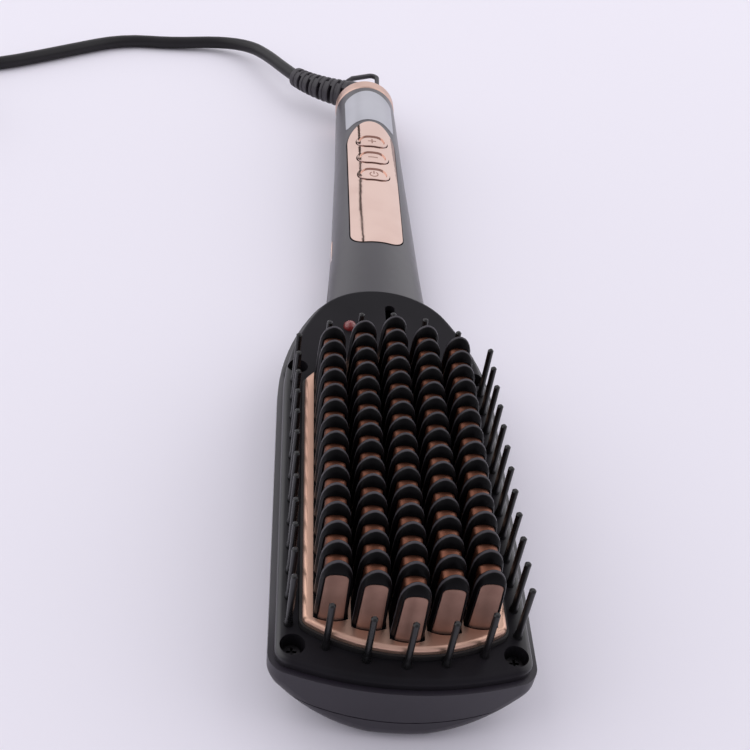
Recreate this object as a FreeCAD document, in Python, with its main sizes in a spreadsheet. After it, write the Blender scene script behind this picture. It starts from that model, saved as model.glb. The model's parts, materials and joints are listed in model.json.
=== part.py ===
import FreeCAD, Part
import math
import os
import Sketcher
from types import SimpleNamespace
from FreeCAD import Placement, Rotation, Vector

# Steam hair straightener brush, lying on its back with the teeth up.
# +Y runs from the head to the tail, +X to the right of the teeth, +Z up.
# The origin is on the table under the middle of the brush; stations are measured from the head's tip.

SIZES = {
    # whole brush
    "overall_length": 332.0,
    "brush_length": 307.0,
    "wall": 2.4,
    "seam_gap": 0.3,
    "seam_depth": 0.6,
    "fit_gap": 0.1,
    # head, in plan
    "head_width": 66.0,
    "head_length": 160.1,
    "front_radius": 91.5,
    "front_corner": 6.0,
    "straight_end": 102.8,
    "rear_radius": 25.0,
    # head, in height
    "belly_edge": 14.0,
    "belly_flat": 0.5,
    "belly_round": 5.0,
    "rim_height": 19.0,
    "seam_middle": 8.0,
    "seam_side": 11.5,
    "seam_reach": 30.0,
    "seam_turn": 146.0,
    "seam_level": 165.0,
    # ovals of the handle: station, width, height, height of the underside
    "root_station": 146.0,
    "root_width": 37.0,
    "root_height": 15.5,
    "root_under": 2.0,
    "neck_station": 163.0,
    "neck_width": 34.4,
    "neck_height": 17.7,
    "neck_under": 1.2,
    "grip_station": 183.0,
    "grip_width": 31.8,
    "grip_height": 21.0,
    "grip_under": 0.8,
    "middle_station": 215.0,
    "middle_width": 29.4,
    "middle_height": 23.0,
    "middle_under": 0.5,
    "waist_station": 250.0,
    "waist_width": 27.0,
    "waist_height": 24.0,
    "waist_under": 0.4,
    "end_station": 286.0,
    "end_width": 25.4,
    "end_height": 24.5,
    "end_under": 0.3,
    "tail_station": 300.5,
    "tail_width": 24.6,
    "tail_height": 24.6,
    "tail_under": 0.2,
    "handle_seam": 11.8,
    # bezel round the heating plate
    "bezel_inset": 1.5,
    "bezel_height": 22.0,
    "bezel_wall": 2.0,
    "bezel_round": 1.4,
    "skirt_inset": 4.1,
    "skirt_wall": 1.4,
    "skirt_foot": 15.8,
    # screws that hold the bezel down
    "screw_spread": 54.6,
    "screw_front": 10.8,
    "screw_rear": 115.2,
    "recess_radius": 3.1,
    "recess_floor": 17.2,
    "recess_floor_wall": 1.6,
    "sleeve_wall": 1.0,
    "screw_radius": 1.25,
    "screw_hole_radius": 1.6,
    "screw_head_radius": 2.1,
    "screw_head_height": 1.8,
    "bezel_screw_grip": 4.2,
    "boss_radius": 3.0,
    # screws that join the two shells
    "shell_screw_neck": 172.0,
    "shell_screw_tail": 278.0,
    "shell_screw_floor": 6.0,
    "shell_screw_grip": 6.0,
    "shell_boss_meet": 10.0,
    "shell_boss_radius": 4.2,
    # heating plate and its fins
    "plate_width": 50.4,
    "plate_front": 8.4,
    "plate_front_radius": 45.0,
    "plate_rear": 120.0,
    "plate_rear_radius": 30.0,
    "plate_corner": 2.5,
    "plate_top": 25.4,
    "plate_round": 1.2,
    "plate_under": 18.4,
    "plate_flange": 1.3,
    "flange_thickness": 1.6,
    "plate_skin": 2.4,
    "plate_side": 2.0,
    "gasket_width": 0.7,
    "gasket_top": 23.5,
    "row_pitch": 9.24,
    "fin_foot": 24.4,
    "fin_width": 6.2,
    "fin_top_width": 5.5,
    "fin_top": 41.8,
    "fin_corner": 2.4,
    # heatproof guard arches over the fins
    "arch_pitch": 6.38,
    "arch_length": 3.1,
    "arch_width": 8.2,
    "arch_shoulder": 37.2,
    "arch_shoulder_width": 7.84,
    "arch_crown": 2.6,
    "arch_top": 43.9,
    "foot_spread": 0.1,
    "foot_height": 1.0,
    "recess_depth": 0.6,
    "recess_margin": 0.3,
    "recess_end_radius": 9.75,
    # heater under the plate
    "heater_station": 64.0,
    "heater_width": 32.0,
    "heater_length": 84.0,
    "heater_thickness": 2.6,
    "mica_thickness": 0.5,
    "tray_thickness": 1.2,
    "tray_margin": 2.4,
    "tray_screw_spread": 39.4,
    "tray_screw_near": 30.0,
    "tray_screw_far": 98.0,
    "tray_boss_radius": 2.1,
    "tray_screw_radius": 1.0,
    "tray_screw_head": 1.9,
    "tray_screw_length": 3.0,
    "post_radius": 1.9,
    "post_spread": 47.2,
    "post_near": 24.0,
    "post_far": 96.0,
    # pins round the plate
    "pin_radius": 0.85,
    "pin_tip": 0.45,
    "pin_flare_radius": 1.2,
    "pin_flare_height": 2.2,
    "pin_offset": 2.1,
    "side_pin_spread": 56.8,
    "side_pin_first": 16.83,
    "side_pin_pitch": 8.31,
    "side_pin_top": 39.8,
    "front_pin_top": 37.8,
    "end_pin_spacing": 9.7,
    # signal lamp and ion outlet in the rear of the bezel
    "lamp_x": -10.9,
    "lamp_station": 136.8,
    "lamp_radius": 2.15,
    "lamp_flange": 3.0,
    "lamp_led_radius": 1.5,
    "lamp_led_length": 4.0,
    "outlet_x": 2.5,
    "outlet_station": 145.6,
    "outlet_width": 3.2,
    "outlet_length": 9.0,
    "needle_radius": 0.5,
    "needle_base": 1.3,
    "ion_station": 138.0,
    "ion_width": 18.0,
    "ion_length": 28.0,
    "ion_floor": 3.6,
    "ion_height": 8.4,
    # control panel on the handle
    "panel_width": 18.8,
    "panel_near": 187.1,
    "panel_shoulder": 255.8,
    "panel_far": 270.6,
    "panel_tip_radius": 6.0,
    "panel_corner": 5.0,
    "panel_gap": 0.35,
    "panel_proud": 0.25,
    "panel_depth": 1.5,
    # buttons in the panel
    "button_width": 12.2,
    "button_length": 8.6,
    "button_pitch": 12.05,
    "button_last": 255.0,
    "button_gap": 0.3,
    "button_proud": 0.45,
    "button_travel": 0.6,
    "button_dish": 0.5,
    "button_lip": 1.0,
    "button_flange_top": 19.3,
    "button_flange": 0.6,
    "button_flange_reach": 1.0,
    "stem_radius": 1.4,
    "stem_foot": 17.6,
    # electronics in the handle
    "board_near": 178.0,
    "board_far": 268.0,
    "board_width": 17.0,
    "board_under": 14.5,
    "board_thickness": 1.5,
    "board_screw_spread": 11.0,
    "board_screw_margin": 5.0,
    "board_screw_radius": 0.8,
    "board_screw_head": 1.7,
    "board_post_radius": 1.9,
    "board_post_grip": 3.0,
    "switch_side": 6.0,
    "switch_height": 2.0,
    "switch_bore": 1.75,
    "switch_bore_floor": 16.6,
    "display_station": 205.0,
    "display_width": 13.0,
    "display_length": 22.0,
    "display_top": 20.3,
    "display_gap": 0.5,
    # side key
    "key_station": 192.0,
    "key_height": 11.0,
    "key_length": 12.0,
    "key_tall": 5.0,
    "key_face": 14.6,
    "key_inside": 11.2,
    "key_gap": 0.3,
    "key_travel": 1.0,
    "key_flange": 1.0,
    "key_flange_reach": 1.2,
    "key_flange_rise": 0.6,
    "key_stem": 1.2,
    "key_stem_length": 2.4,
    "side_switch_outer": 8.9,
    "side_switch_depth": 4.0,
    # tail ring and swivelling gland
    "ring_inside": 296.5,
    "ring_radius": 12.5,
    "ring_round": 1.2,
    "ring_spigot": 9.7,
    "gland_gap": 0.3,
    "journal_gap": 0.1,
    "gland_journal": 5.5,
    "gland_radius": 7.8,
    "gland_collar": 2.7,
    "retainer_radius": 8.0,
    "retainer_thickness": 1.7,
    "slip_core": 2.6,
    "slip_ring": 4.2,
    "slip_width": 1.5,
    "slip_length": 8.2,
    "contact_width": 9.0,
    "contact_length": 6.6,
    "elbow_radius": 6.2,
    "relief_radius": 6.1,
    "relief_end_radius": 4.2,
    "relief_core": 3.4,
    "relief_slot": 1.0,
    "elbow_length": 7.5,
    "loop_height": 2.4,
    "loop_width": 2.0,
    "loop_level": 16.6,
    # cord and plug
    "cord_diameter": 5.5,
    "coil_x": -212.0,
    "coil_station": 278.75,
    "coil_inner_turn": 22.7,
    "coil_outer_turn": 41.25,
    "coil_height": 11.0,
    "lead_height": 7.0,
    "lead_length": 25.0,
    "tie_width": 8.0,
    "tie_thickness": 0.7,
    "plug_sleeve_length": 20.0,
    "plug_sleeve_radius": 4.6,
    "plug_length": 35.0,
    "plug_width": 36.0,
    "plug_height": 14.0,
    "plug_round": 3.0,
    "prong_radius": 2.0,
    "prong_length": 19.0,
    "prong_spacing": 18.6,
}


# ---------------------------------------------------------------- sheet and helpers

class Size:
    """A number together with the sheet expression that gives it."""

    def __init__(self, value, text):
        self.value = value
        self.text = text

    def __add__(self, other):
        return Size(self.value + number(other), f"({self.text} + {words(other)})")

    def __radd__(self, other):
        return Size(number(other) + self.value, f"({words(other)} + {self.text})")

    def __sub__(self, other):
        return Size(self.value - number(other), f"({self.text} - {words(other)})")

    def __rsub__(self, other):
        return Size(number(other) - self.value, f"({words(other)} - {self.text})")

    def __mul__(self, other):
        return Size(self.value * number(other), f"({self.text} * {words(other)})")

    def __rmul__(self, other):
        return Size(number(other) * self.value, f"({words(other)} * {self.text})")

    def __truediv__(self, other):
        return Size(self.value / number(other), f"({self.text} / {words(other)})")

    def __neg__(self):
        return Size(-self.value, f"(-1 * {self.text})")


def number(size):
    return size.value if isinstance(size, Size) else size


def words(size):
    return size.text if isinstance(size, Size) else str(size)


def root(size):
    return Size(math.sqrt(size.value), f"sqrt({size.text})")


def other_side(long, short):
    """The other short side of a right triangle."""
    return root(long * long - short * short)


document = FreeCAD.newDocument("straightener_brush")
sheet = document.addObject("Spreadsheet::Sheet", "sizes")
for row, (alias, value) in enumerate(SIZES.items(), 1):
    sheet.set(f"A{row}", alias)
    sheet.set(f"B{row}", str(value))
    sheet.setAlias(f"B{row}", alias)
document.recompute()
mm = SimpleNamespace(**{alias: Size(value, f"sizes.{alias}") for alias, value in SIZES.items()})

nodes = []


def along(station):
    """The Y of a station measured from the head's tip."""
    return station - mm.overall_length / 2


def bind(item, **sizes):
    """Ties properties of a document object to the sheet, or sets plain values."""
    for name, size in sizes.items():
        if isinstance(size, Size):
            item.setExpression(name, size.text)
        else:
            setattr(item, name, size)
    return item


def place(item, x=0, y=0, z=0, turn=None):
    """Puts a document object at a bound position."""
    item.Placement = Placement(Vector(number(x), number(y), number(z)), turn or Rotation())
    for axis, size in zip("xyz", (x, y, z)):
        if isinstance(size, Size):
            item.setExpression(f"Placement.Base.{axis}", size.text)
    return item


def keep(item, name):
    """Marks a document object as one sub-part of the brush."""
    item.Label = name
    nodes.append(item)
    return item


def hold(sketch, constraint, size):
    """Adds a sketch dimension and binds it to the sheet."""
    index = sketch.addConstraint(constraint)
    if isinstance(size, Size):
        sketch.setExpression(f"Constraints[{index}]", size.text)


def segment(start, end, radius):
    """A line, or an arc that turns left where its radius is positive, and which of its ends is the start."""
    if radius is None:
        return Part.LineSegment(start, end), 1, 2
    chord = end - start
    left = Vector(-chord.y, chord.x, 0).normalize()
    reach = math.sqrt(max(radius * radius - chord.Length ** 2 / 4, 0.0))
    centre = (start + end) / 2 + left * math.copysign(reach, radius)
    circle = Part.Circle(centre, Vector(0, 0, 1), abs(radius))
    from_angle = math.atan2(start.y - centre.y, start.x - centre.x)
    to_angle = math.atan2(end.y - centre.y, end.x - centre.x)
    if radius > 0:
        return Part.ArcOfCircle(circle, from_angle, to_angle), 1, 2
    return Part.ArcOfCircle(circle, to_angle, from_angle), 2, 1


def trace(sketch, corners):
    """Draws a closed outline. A corner is (x, y), or (x, y, radius) where an arc ends there."""
    drawn = []
    for index, corner in enumerate(corners):
        before = corners[index - 1]
        radius = corner[2] if len(corner) > 2 else None
        start = Vector(number(before[0]), number(before[1]), 0)
        end = Vector(number(corner[0]), number(corner[1]), 0)
        shape, first, last = segment(start, end, None if radius is None else number(radius))
        drawn.append((sketch.addGeometry(shape, False), first, last, radius, corner))
    for index, (line, first, last, radius, corner) in enumerate(drawn):
        following = drawn[(index + 1) % len(drawn)]
        sketch.addConstraint(Sketcher.Constraint("Coincident", line, last, following[0], following[1]))
        hold(sketch, Sketcher.Constraint("DistanceX", -1, 1, line, last, number(corner[0])), corner[0])
        hold(sketch, Sketcher.Constraint("DistanceY", -1, 1, line, last, number(corner[1])), corner[1])
        if radius is not None:
            size = radius if number(radius) > 0 else -1 * radius
            hold(sketch, Sketcher.Constraint("Radius", line, abs(number(radius))), size)


def trace_circle(sketch, x, y, radius):
    circle = Part.Circle(Vector(number(x), number(y), 0), Vector(0, 0, 1), number(radius))
    line = sketch.addGeometry(circle, False)
    hold(sketch, Sketcher.Constraint("DistanceX", -1, 1, line, 3, number(x)), x)
    hold(sketch, Sketcher.Constraint("DistanceY", -1, 1, line, 3, number(y)), y)
    hold(sketch, Sketcher.Constraint("Radius", line, number(radius)), radius)


def draw(sketch, outlines):
    """Draws outlines; an outline is a list of corners, or one (x, y, radius) tuple for a circle."""
    for outline in outlines:
        if isinstance(outline, tuple):
            trace_circle(sketch, *outline)
        else:
            trace(sketch, outline)
    return sketch


def new_body(name, x=0, y=0, z=0, turn=None):
    body = document.addObject("PartDesign::Body", name)
    place(body, x, y, z, turn)
    return keep(body, name)


def origin_part(body, role):
    return next(part for part in body.Origin.OriginFeatures if part.Role == role)


def body_sketch(body, outlines, plane="XY_Plane", offset=0):
    """A sketch on one of the body's own origin planes, raised by offset."""
    sketch = body.newObject("Sketcher::SketchObject", body.Name + "_outline")
    sketch.AttachmentSupport = [(origin_part(body, plane), "")]
    sketch.MapMode = "FlatFace"
    sketch.AttachmentOffset = Placement(Vector(0, 0, number(offset)), Rotation())
    if isinstance(offset, Size):
        sketch.setExpression("AttachmentOffset.Base.z", offset.text)
    return draw(sketch, outlines)


def pad(body, outlines, length, plane="XY_Plane", offset=0, middle=False, back=False):
    """Adds a block of the outlines to the body."""
    block = body.newObject("PartDesign::Pad", body.Name + "_pad")
    block.Profile = body_sketch(body, outlines, plane, offset)
    block.SideType = "Symmetric" if middle else "One side"
    block.Reversed = back
    return bind(block, Length=length)


def pocket(body, outlines, length, plane="XY_Plane", offset=0, upward=False, middle=False):
    """Cuts a block of the outlines out of the body, downward from its sketch unless told otherwise."""
    block = body.newObject("PartDesign::Pocket", body.Name + "_pocket")
    block.Profile = body_sketch(body, outlines, plane, offset)
    block.SideType = "Symmetric" if middle else "One side"
    block.Reversed = upward
    return bind(block, Length=length)


def revolve(body, corners, plane="XZ_Plane", axis="Z_Axis", cut=False):
    """Turns a profile a full turn about one of the body's axes."""
    kind = "PartDesign::Groove" if cut else "PartDesign::Revolution"
    turned = body.newObject(kind, body.Name + "_turned")
    turned.Profile = body_sketch(body, [corners], plane)
    turned.ReferenceAxis = (origin_part(body, axis), [""])
    turned.Angle = 360
    return turned


def round_edges(body, radius, chosen):
    """Rounds the edges of the body's tip that the test chooses."""
    document.recompute()
    tip = body.Tip
    edges = [f"Edge{index}" for index, edge in enumerate(tip.Shape.Edges, 1) if chosen(edge)]
    fillet = body.newObject("PartDesign::Fillet", body.Name + "_round")
    fillet.Base = (tip, edges)
    return bind(fillet, Radius=radius)


def near(one, two):
    return abs(one - number(two)) < 0.01


def level_edge(height):
    """A test for edges that lie at one height of the body."""
    return lambda edge: all(near(vertex.Point.z, height) for vertex in edge.Vertexes)


def box(name, x, y, z, width, length, height):
    """A box given by its low corner."""
    item = document.addObject("Part::Box", name)
    bind(item, Width=length, Length=width, Height=height)
    return place(item, x, y, z)


def rod(name, x, y, z, radius, height, turn=None):
    item = document.addObject("Part::Cylinder", name)
    bind(item, Radius=radius, Height=height)
    return place(item, x, y, z, turn)


def extrude(name, outlines, length, x=0, y=0, z=0, turn=None):
    """A solid of the outlines along the local Z of a placed sketch."""
    sketch = document.addObject("Sketcher::SketchObject", name + "_outline")
    draw(sketch, outlines)
    place(sketch, x, y, z, turn)
    block = document.addObject("Part::Extrusion", name)
    block.Base = sketch
    block.DirMode = "Normal"
    block.Solid = True
    return bind(block, LengthFwd=length)


def join(name, pieces):
    item = document.addObject("Part::MultiFuse", name)
    item.Shapes = pieces
    return item


def cut(name, base, tool):
    item = document.addObject("Part::Cut", name)
    item.Base = base
    item.Tool = tool
    return item


def common(name, base, tool):
    item = document.addObject("Part::Common", name)
    item.Base = base
    item.Tool = tool
    return item


def group(name, pieces):
    item = document.addObject("Part::Compound", name)
    item.Links = pieces
    return keep(item, name)


def spin(name, corners, x, y, z, axis, turn=None):
    """A profile turned a full turn about an axis through a place."""
    sketch = document.addObject("Sketcher::SketchObject", name + "_profile")
    draw(sketch, [corners])
    place(sketch, x, y, z, turn)
    turned = document.addObject("Part::Revolution", name)
    turned.Source = sketch
    turned.Axis = axis
    turned.Base = Vector(number(x), number(y), number(z))
    for letter, size in zip("xyz", (x, y, z)):
        if isinstance(size, Size):
            turned.setExpression(f"Base.{letter}", size.text)
    turned.Angle = 360
    turned.Solid = True
    return turned


def middle_box(name, x, y, z, width, length, height):
    """A box given by the middle of its underside."""
    return box(name, x - width / 2, y - length / 2, z, width, length, height)


FACE_HEAD = Rotation(Vector(1, 0, 0), 90)
SIDE_ON = Rotation(Vector(1, 1, 1), 120)
ACROSS = Rotation(Vector(0, 1, 0), 90)
UP = Vector(0, 0, 1)
TAILWARD = Vector(0, 1, 0)
SIDES = (-1, 1)


# ---------------------------------------------------------------- outlines in plan

def end_corner(half, radius, corner):
    """How far a rounded corner's centre lies from the centre of the end arc that it runs into."""
    return other_side(radius - corner, half - corner)


def arched_end(half, start, tip, tip_radius, inset):
    """An end that curves in from straight sides to a rounder tip, drawn in by inset."""
    tip_centre = tip - tip_radius
    rise = tip_centre - start
    side_radius = (half * half + rise * rise - tip_radius * tip_radius) / (2 * (half - tip_radius))
    share = (tip_radius - inset) / (side_radius - tip_radius)
    join_x = (side_radius - half) * share
    join_y = along(tip_centre) + rise * share
    return [
        (half - inset, along(start)),
        (join_x, join_y, side_radius - inset),
        (-join_x, join_y, tip_radius - inset),
        (inset - half, along(start), side_radius - inset),
    ]


def head_outline(inset):
    """The head in plan: straight sides, a shallow front arc and a pointed round rear."""
    half = mm.head_width / 2
    front_centre = along(mm.front_radius)
    corner_drop = end_corner(half, mm.front_radius, mm.front_corner)
    scale = (mm.front_radius - inset) / (mm.front_radius - mm.front_corner)
    tip_x = (half - mm.front_corner) * scale
    tip_y = front_centre - corner_drop * scale
    side = half - inset
    low = front_centre - corner_drop
    return [
        (side, low, mm.front_corner - inset),
        *arched_end(half, mm.straight_end, mm.head_length, mm.rear_radius, inset),
        (-side, low),
        (-tip_x, tip_y, mm.front_corner - inset),
        (tip_x, tip_y, mm.front_radius - inset),
    ]


def plate_outline(grow):
    """The heating plate in plan: straight sides between two arcs, grown outward."""
    half = mm.plate_width / 2
    ends = []
    for tip, radius, way in (
        (mm.plate_front, mm.plate_front_radius, 1),
        (mm.plate_rear, mm.plate_rear_radius, -1),
    ):
        centre = along(tip) + way * radius
        drop = end_corner(half, radius, mm.plate_corner)
        scale = (radius + grow) / (radius - mm.plate_corner)
        ends.append((centre - way * drop, (half - mm.plate_corner) * scale, centre - way * drop * scale,
                     radius + grow))
    (low, front_x, front_y, front_radius), (high, rear_x, rear_y, rear_radius) = ends
    side = half + grow
    corner = mm.plate_corner + grow
    return [
        (side, low, corner),
        (side, high),
        (rear_x, rear_y, corner),
        (-rear_x, rear_y, rear_radius),
        (-side, high, corner),
        (-side, low),
        (-front_x, front_y, corner),
        (front_x, front_y, front_radius),
    ]


def panel_outline(grow):
    """The control panel in plan: round corners near the head and an arched far end."""
    half = mm.panel_width / 2
    side = half + grow
    near_edge = along(mm.panel_near) - grow
    corner = mm.panel_corner + grow
    return [
        (side, near_edge + corner, corner),
        *arched_end(half, mm.panel_shoulder, mm.panel_far, mm.panel_tip_radius, -1 * grow),
        (-side, near_edge + corner),
        (corner - side, near_edge, corner),
        (side - corner, near_edge),
    ]


def rectangle(x, y, width, length):
    """A rectangle round a centre."""
    return [
        (x + width / 2, y - length / 2),
        (x + width / 2, y + length / 2),
        (x - width / 2, y + length / 2),
        (x - width / 2, y - length / 2),
    ]


def slot(x, y, width, length):
    """A slot with half-round ends, long in X where width is the larger."""
    if number(width) > number(length):
        reach = (width - length) / 2
        radius = length / 2
        return [
            (x + reach, y + radius, radius),
            (x - reach, y + radius),
            (x - reach, y - radius, radius),
            (x + reach, y - radius),
        ]
    reach = (length - width) / 2
    radius = width / 2
    return [
        (x + radius, y + reach),
        (x - radius, y + reach, radius),
        (x - radius, y - reach),
        (x + radius, y - reach, radius),
    ]


# ---------------------------------------------------------------- casing

def belly_section(inset, top):
    """The head seen from the front: a shallow arc below, with a narrow flat to rest on."""
    half = mm.head_width / 2
    sag = mm.belly_edge + mm.belly_flat
    radius = (half * half + sag * sag) / (2 * sag)
    centre = radius - mm.belly_flat
    flat = root((radius - inset) * (radius - inset) - (centre - inset) * (centre - inset))
    outside = half + 2
    edge = centre - other_side(radius - inset, outside)
    return [
        (flat, inset),
        (outside, edge, radius - inset),
        (outside, top),
        (-outside, top),
        (-outside, edge),
        (-flat, inset, radius - inset),
    ]


def head_solid(name, inset, top):
    """The head's form as a solid, drawn in all round by inset."""
    prism = extrude(name + "_plan", [head_outline(inset)], top + 1, z=-1)
    belly = extrude(name + "_belly", [belly_section(inset, top)], mm.overall_length,
                    y=mm.overall_length / 2, turn=FACE_HEAD)
    raw = common(name + "_raw", prism, belly)
    document.recompute()

    def bottom(edge):
        ends = [vertex.Point for vertex in edge.Vertexes]
        flat = math.dist(ends[0][:2], ends[-1][:2]) > 0.5 or edge.Length > 20
        inside = max(point.z for point in ends) < number(mm.belly_edge) + 2
        return flat and inside and edge.BoundBox.XLength + edge.BoundBox.YLength > 0.5 and not (
            near(edge.BoundBox.ZLength, 0) and edge.BoundBox.YLength > number(mm.head_length) / 2)

    radius = number(mm.belly_round - inset)
    fillet = document.addObject("Part::Fillet", name)
    fillet.Base = raw
    fillet.Edges = [(index, radius, radius) for index, edge in enumerate(raw.Shape.Edges, 1) if bottom(edge)]
    return fillet


HANDLE_OVALS = ("root", "neck", "grip", "middle", "waist", "end", "tail")


def handle_solid(name, inset):
    """The handle's form: a loft through ovals from inside the head to the tail ring."""
    ovals = []
    for part in HANDLE_OVALS:
        station, width, height, under = (
            getattr(mm, f"{part}_{size}") for size in ("station", "width", "height", "under"))
        oval = document.addObject("Part::Ellipse", f"{name}_{part}")
        bind(oval, MajorRadius=width / 2 - inset, MinorRadius=height / 2 - inset)
        place(oval, 0, along(station), height / 2 + under, FACE_HEAD)
        ovals.append(oval)
    loft = document.addObject("Part::Loft", name)
    loft.Sections = ovals
    loft.Solid = True
    loft.Ruled = False
    return loft


def casing_solid(name, inset, top):
    """Head and handle in one, drawn in all round by inset."""
    return join(name, [head_solid(name + "_head", inset, top), handle_solid(name + "_handle", inset)])


def below_parting(name, drop):
    """Everything under the parting line between the two shells, lowered by drop."""
    half = mm.head_width / 2 + 2
    dip = mm.seam_side - mm.seam_middle
    radius = (mm.seam_reach * mm.seam_reach + dip * dip) / (2 * dip)
    middle = mm.seam_middle - drop
    edge = middle + radius - other_side(radius, half)
    floor = -mm.wall
    head_part = extrude(
        name + "_head",
        [[(half, floor), (half, edge), (-half, edge, -radius), (-half, floor)]],
        mm.seam_turn + 1,
        y=along(mm.seam_turn),
        turn=FACE_HEAD,
    )
    neck_side = mm.root_width / 2
    turn_height = middle + radius - other_side(radius, neck_side)
    start = along(mm.seam_turn)
    finish = along(mm.brush_length)
    level = mm.handle_seam - drop
    handle_part = extrude(
        name + "_handle",
        [[(start, floor), (finish, floor), (finish, level), (along(mm.seam_level), level),
          (start, turn_height)]],
        half * 2,
        x=-half,
        turn=SIDE_ON,
    )
    return join(name, [head_part, handle_part])


none = mm.wall - mm.wall  # a zero that stays tied to the sheet
outside = casing_solid("outside", none, mm.rim_height)
inside = casing_solid("inside", mm.wall, mm.rim_height + 1)
lining = casing_solid("lining", mm.seam_depth, mm.rim_height + 1)
under_panel = handle_solid("under_panel", mm.panel_depth)
walls = cut("walls", outside, inside)
lower_space = below_parting("lower_space", none)
surroundings = middle_box(
    "surroundings", 0, none, -mm.wall, mm.head_width * 2, mm.overall_length * 2, mm.bezel_height * 2)
outer_space = cut("outer_space", surroundings, lining)
seam = cut("seam", outer_space, below_parting("groove_space", mm.seam_gap))

bezel_screw_places = [
    (side * mm.screw_spread / 2, along(station))
    for station in (mm.screw_front, mm.screw_rear)
    for side in SIDES
]
shell_screw_stations = [along(mm.shell_screw_neck), along(mm.shell_screw_tail)]
board_screw_places = [
    (side * mm.board_screw_spread / 2, y)
    for y in (along(mm.board_near) + mm.board_screw_margin, along(mm.board_far) - mm.board_screw_margin)
    for side in SIDES
]
plate_post_places = [
    (side * mm.post_spread / 2, along(station)) for station in (mm.post_near, mm.post_far) for side in SIDES
]
button_places = {
    name: along(mm.button_last) - mm.button_pitch * place_back
    for place_back, name in enumerate(("plus", "minus", "power"))
}
boss_top = mm.recess_floor - mm.recess_floor_wall


def key_window():
    """The opening for the side key, through both shells."""
    return middle_box(
        "key_window",
        -(mm.key_face + mm.key_inside) / 2,
        along(mm.key_station),
        mm.key_height - mm.key_tall / 2 - mm.key_gap,
        mm.wall * 3,
        mm.key_length + mm.key_gap * 2,
        mm.key_tall + mm.key_gap * 2,
    )


def back_shell():
    """The lower half of the casing, with the bosses and posts that stand on its floor."""
    floor = mm.wall / 2
    standing = []
    for x, y in plate_post_places:
        standing.append(rod("plate_post", x, y, floor, mm.post_radius, mm.plate_under - floor))
    for y in shell_screw_stations:
        standing.append(rod("shell_boss", 0, y, floor, mm.shell_boss_radius, mm.shell_boss_meet - floor))
    for side in SIDES:
        standing.append(middle_box(
            "ion_rest", 0, along(mm.ion_station) + side * mm.ion_length / 4, floor,
            mm.ion_width, mm.wall, mm.ion_floor - floor))
    furniture = common("back_furniture", join("back_standing", standing), lining)
    whole = join("back_whole", [common("lower_walls", walls, lower_space), furniture])
    holes = [key_window()]
    for y in shell_screw_stations:
        holes.append(rod("screw_well", 0, y, -mm.wall, mm.recess_radius, mm.wall + mm.shell_screw_floor))
        holes.append(rod("screw_way", 0, y, -mm.wall, mm.screw_hole_radius, mm.rim_height))
    holed = cut("back_holed", cut("back_grooved", whole, seam), join("back_holes", holes))
    keep(holed, "back_shell")


def button_prism(name, y, grow, base):
    return extrude(
        name, [slot(0, y, mm.button_width + grow * 2, mm.button_length + grow * 2)],
        mm.bezel_height, z=base)


def front_shell():
    """The upper half of the casing, with the panel's recess and the openings for what shows in it."""
    hanging = []
    for y in shell_screw_stations:
        hanging.append(rod("front_boss", 0, y, mm.shell_boss_meet, mm.boss_radius, mm.bezel_height))
    for x, y in board_screw_places:
        hanging.append(rod("board_post", x, y, board_top, mm.board_post_radius, mm.bezel_height))
    furniture = common("front_furniture", join("front_hanging", hanging), lining)
    bezel_bosses = join("bezel_bosses", [
        rod("bezel_boss", x, y, mm.wall, mm.boss_radius, boss_top - mm.wall) for x, y in bezel_screw_places
    ])
    upper = cut("upper", join("upper_blank", [walls, common("corner_bosses", bezel_bosses, lining)]),
                lower_space)
    recess = cut(
        "panel_recess",
        extrude("recess_plan", [panel_outline(mm.panel_gap)], mm.bezel_height, z=mm.handle_seam),
        under_panel,
    )
    holes = [key_window(), recess]
    for name, y in button_places.items():
        holes.append(button_prism(f"{name}_opening", y, mm.button_gap, mm.stem_foot))
    holes.append(middle_box(
        "display_opening", 0, along(mm.display_station), mm.stem_foot,
        mm.display_width + mm.display_gap * 2, mm.display_length + mm.display_gap * 2, mm.bezel_height))
    for y in shell_screw_stations:
        holes.append(rod(
            "front_boss_hole", 0, y, mm.shell_boss_meet, mm.screw_radius, mm.shell_screw_grip))
    for x, y in board_screw_places:
        holes.append(rod("board_post_hole", x, y, board_top, mm.board_screw_radius, mm.board_post_grip))
    for x, y in bezel_screw_places:
        holes.append(rod("boss_hole", x, y, boss_top - mm.bezel_screw_grip, mm.screw_radius, mm.wall * 3))
    solid = join("front_solid", [upper, furniture])
    keep(cut("front_shell", solid, join("front_holes", holes)), "front_shell")


board_top = mm.board_under + mm.board_thickness
back_shell()
front_shell()


# ---------------------------------------------------------------- bezel and pins

side_pin_places = {
    name: [
        (side * mm.side_pin_spread / 2, along(mm.side_pin_first) + mm.side_pin_pitch * count)
        for count in range(12)
    ]
    for name, side in (("side_pins_left", -1), ("side_pins_right", 1))
}


def end_pin_places(tip, radius, way):
    """Five pins on an arc outside one end of the heating plate."""
    centre = along(tip) + way * radius
    ring = radius + mm.pin_offset
    return [
        (count * mm.end_pin_spacing, centre - way * other_side(ring, count * mm.end_pin_spacing))
        for count in range(-2, 3)
    ]


pin_places = {
    **side_pin_places,
    "end_pins_front": end_pin_places(mm.plate_front, mm.plate_front_radius, 1),
    "end_pins_rear": end_pin_places(mm.plate_rear, mm.plate_rear_radius, -1),
}
bezel_under = mm.bezel_height - mm.bezel_wall


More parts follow.
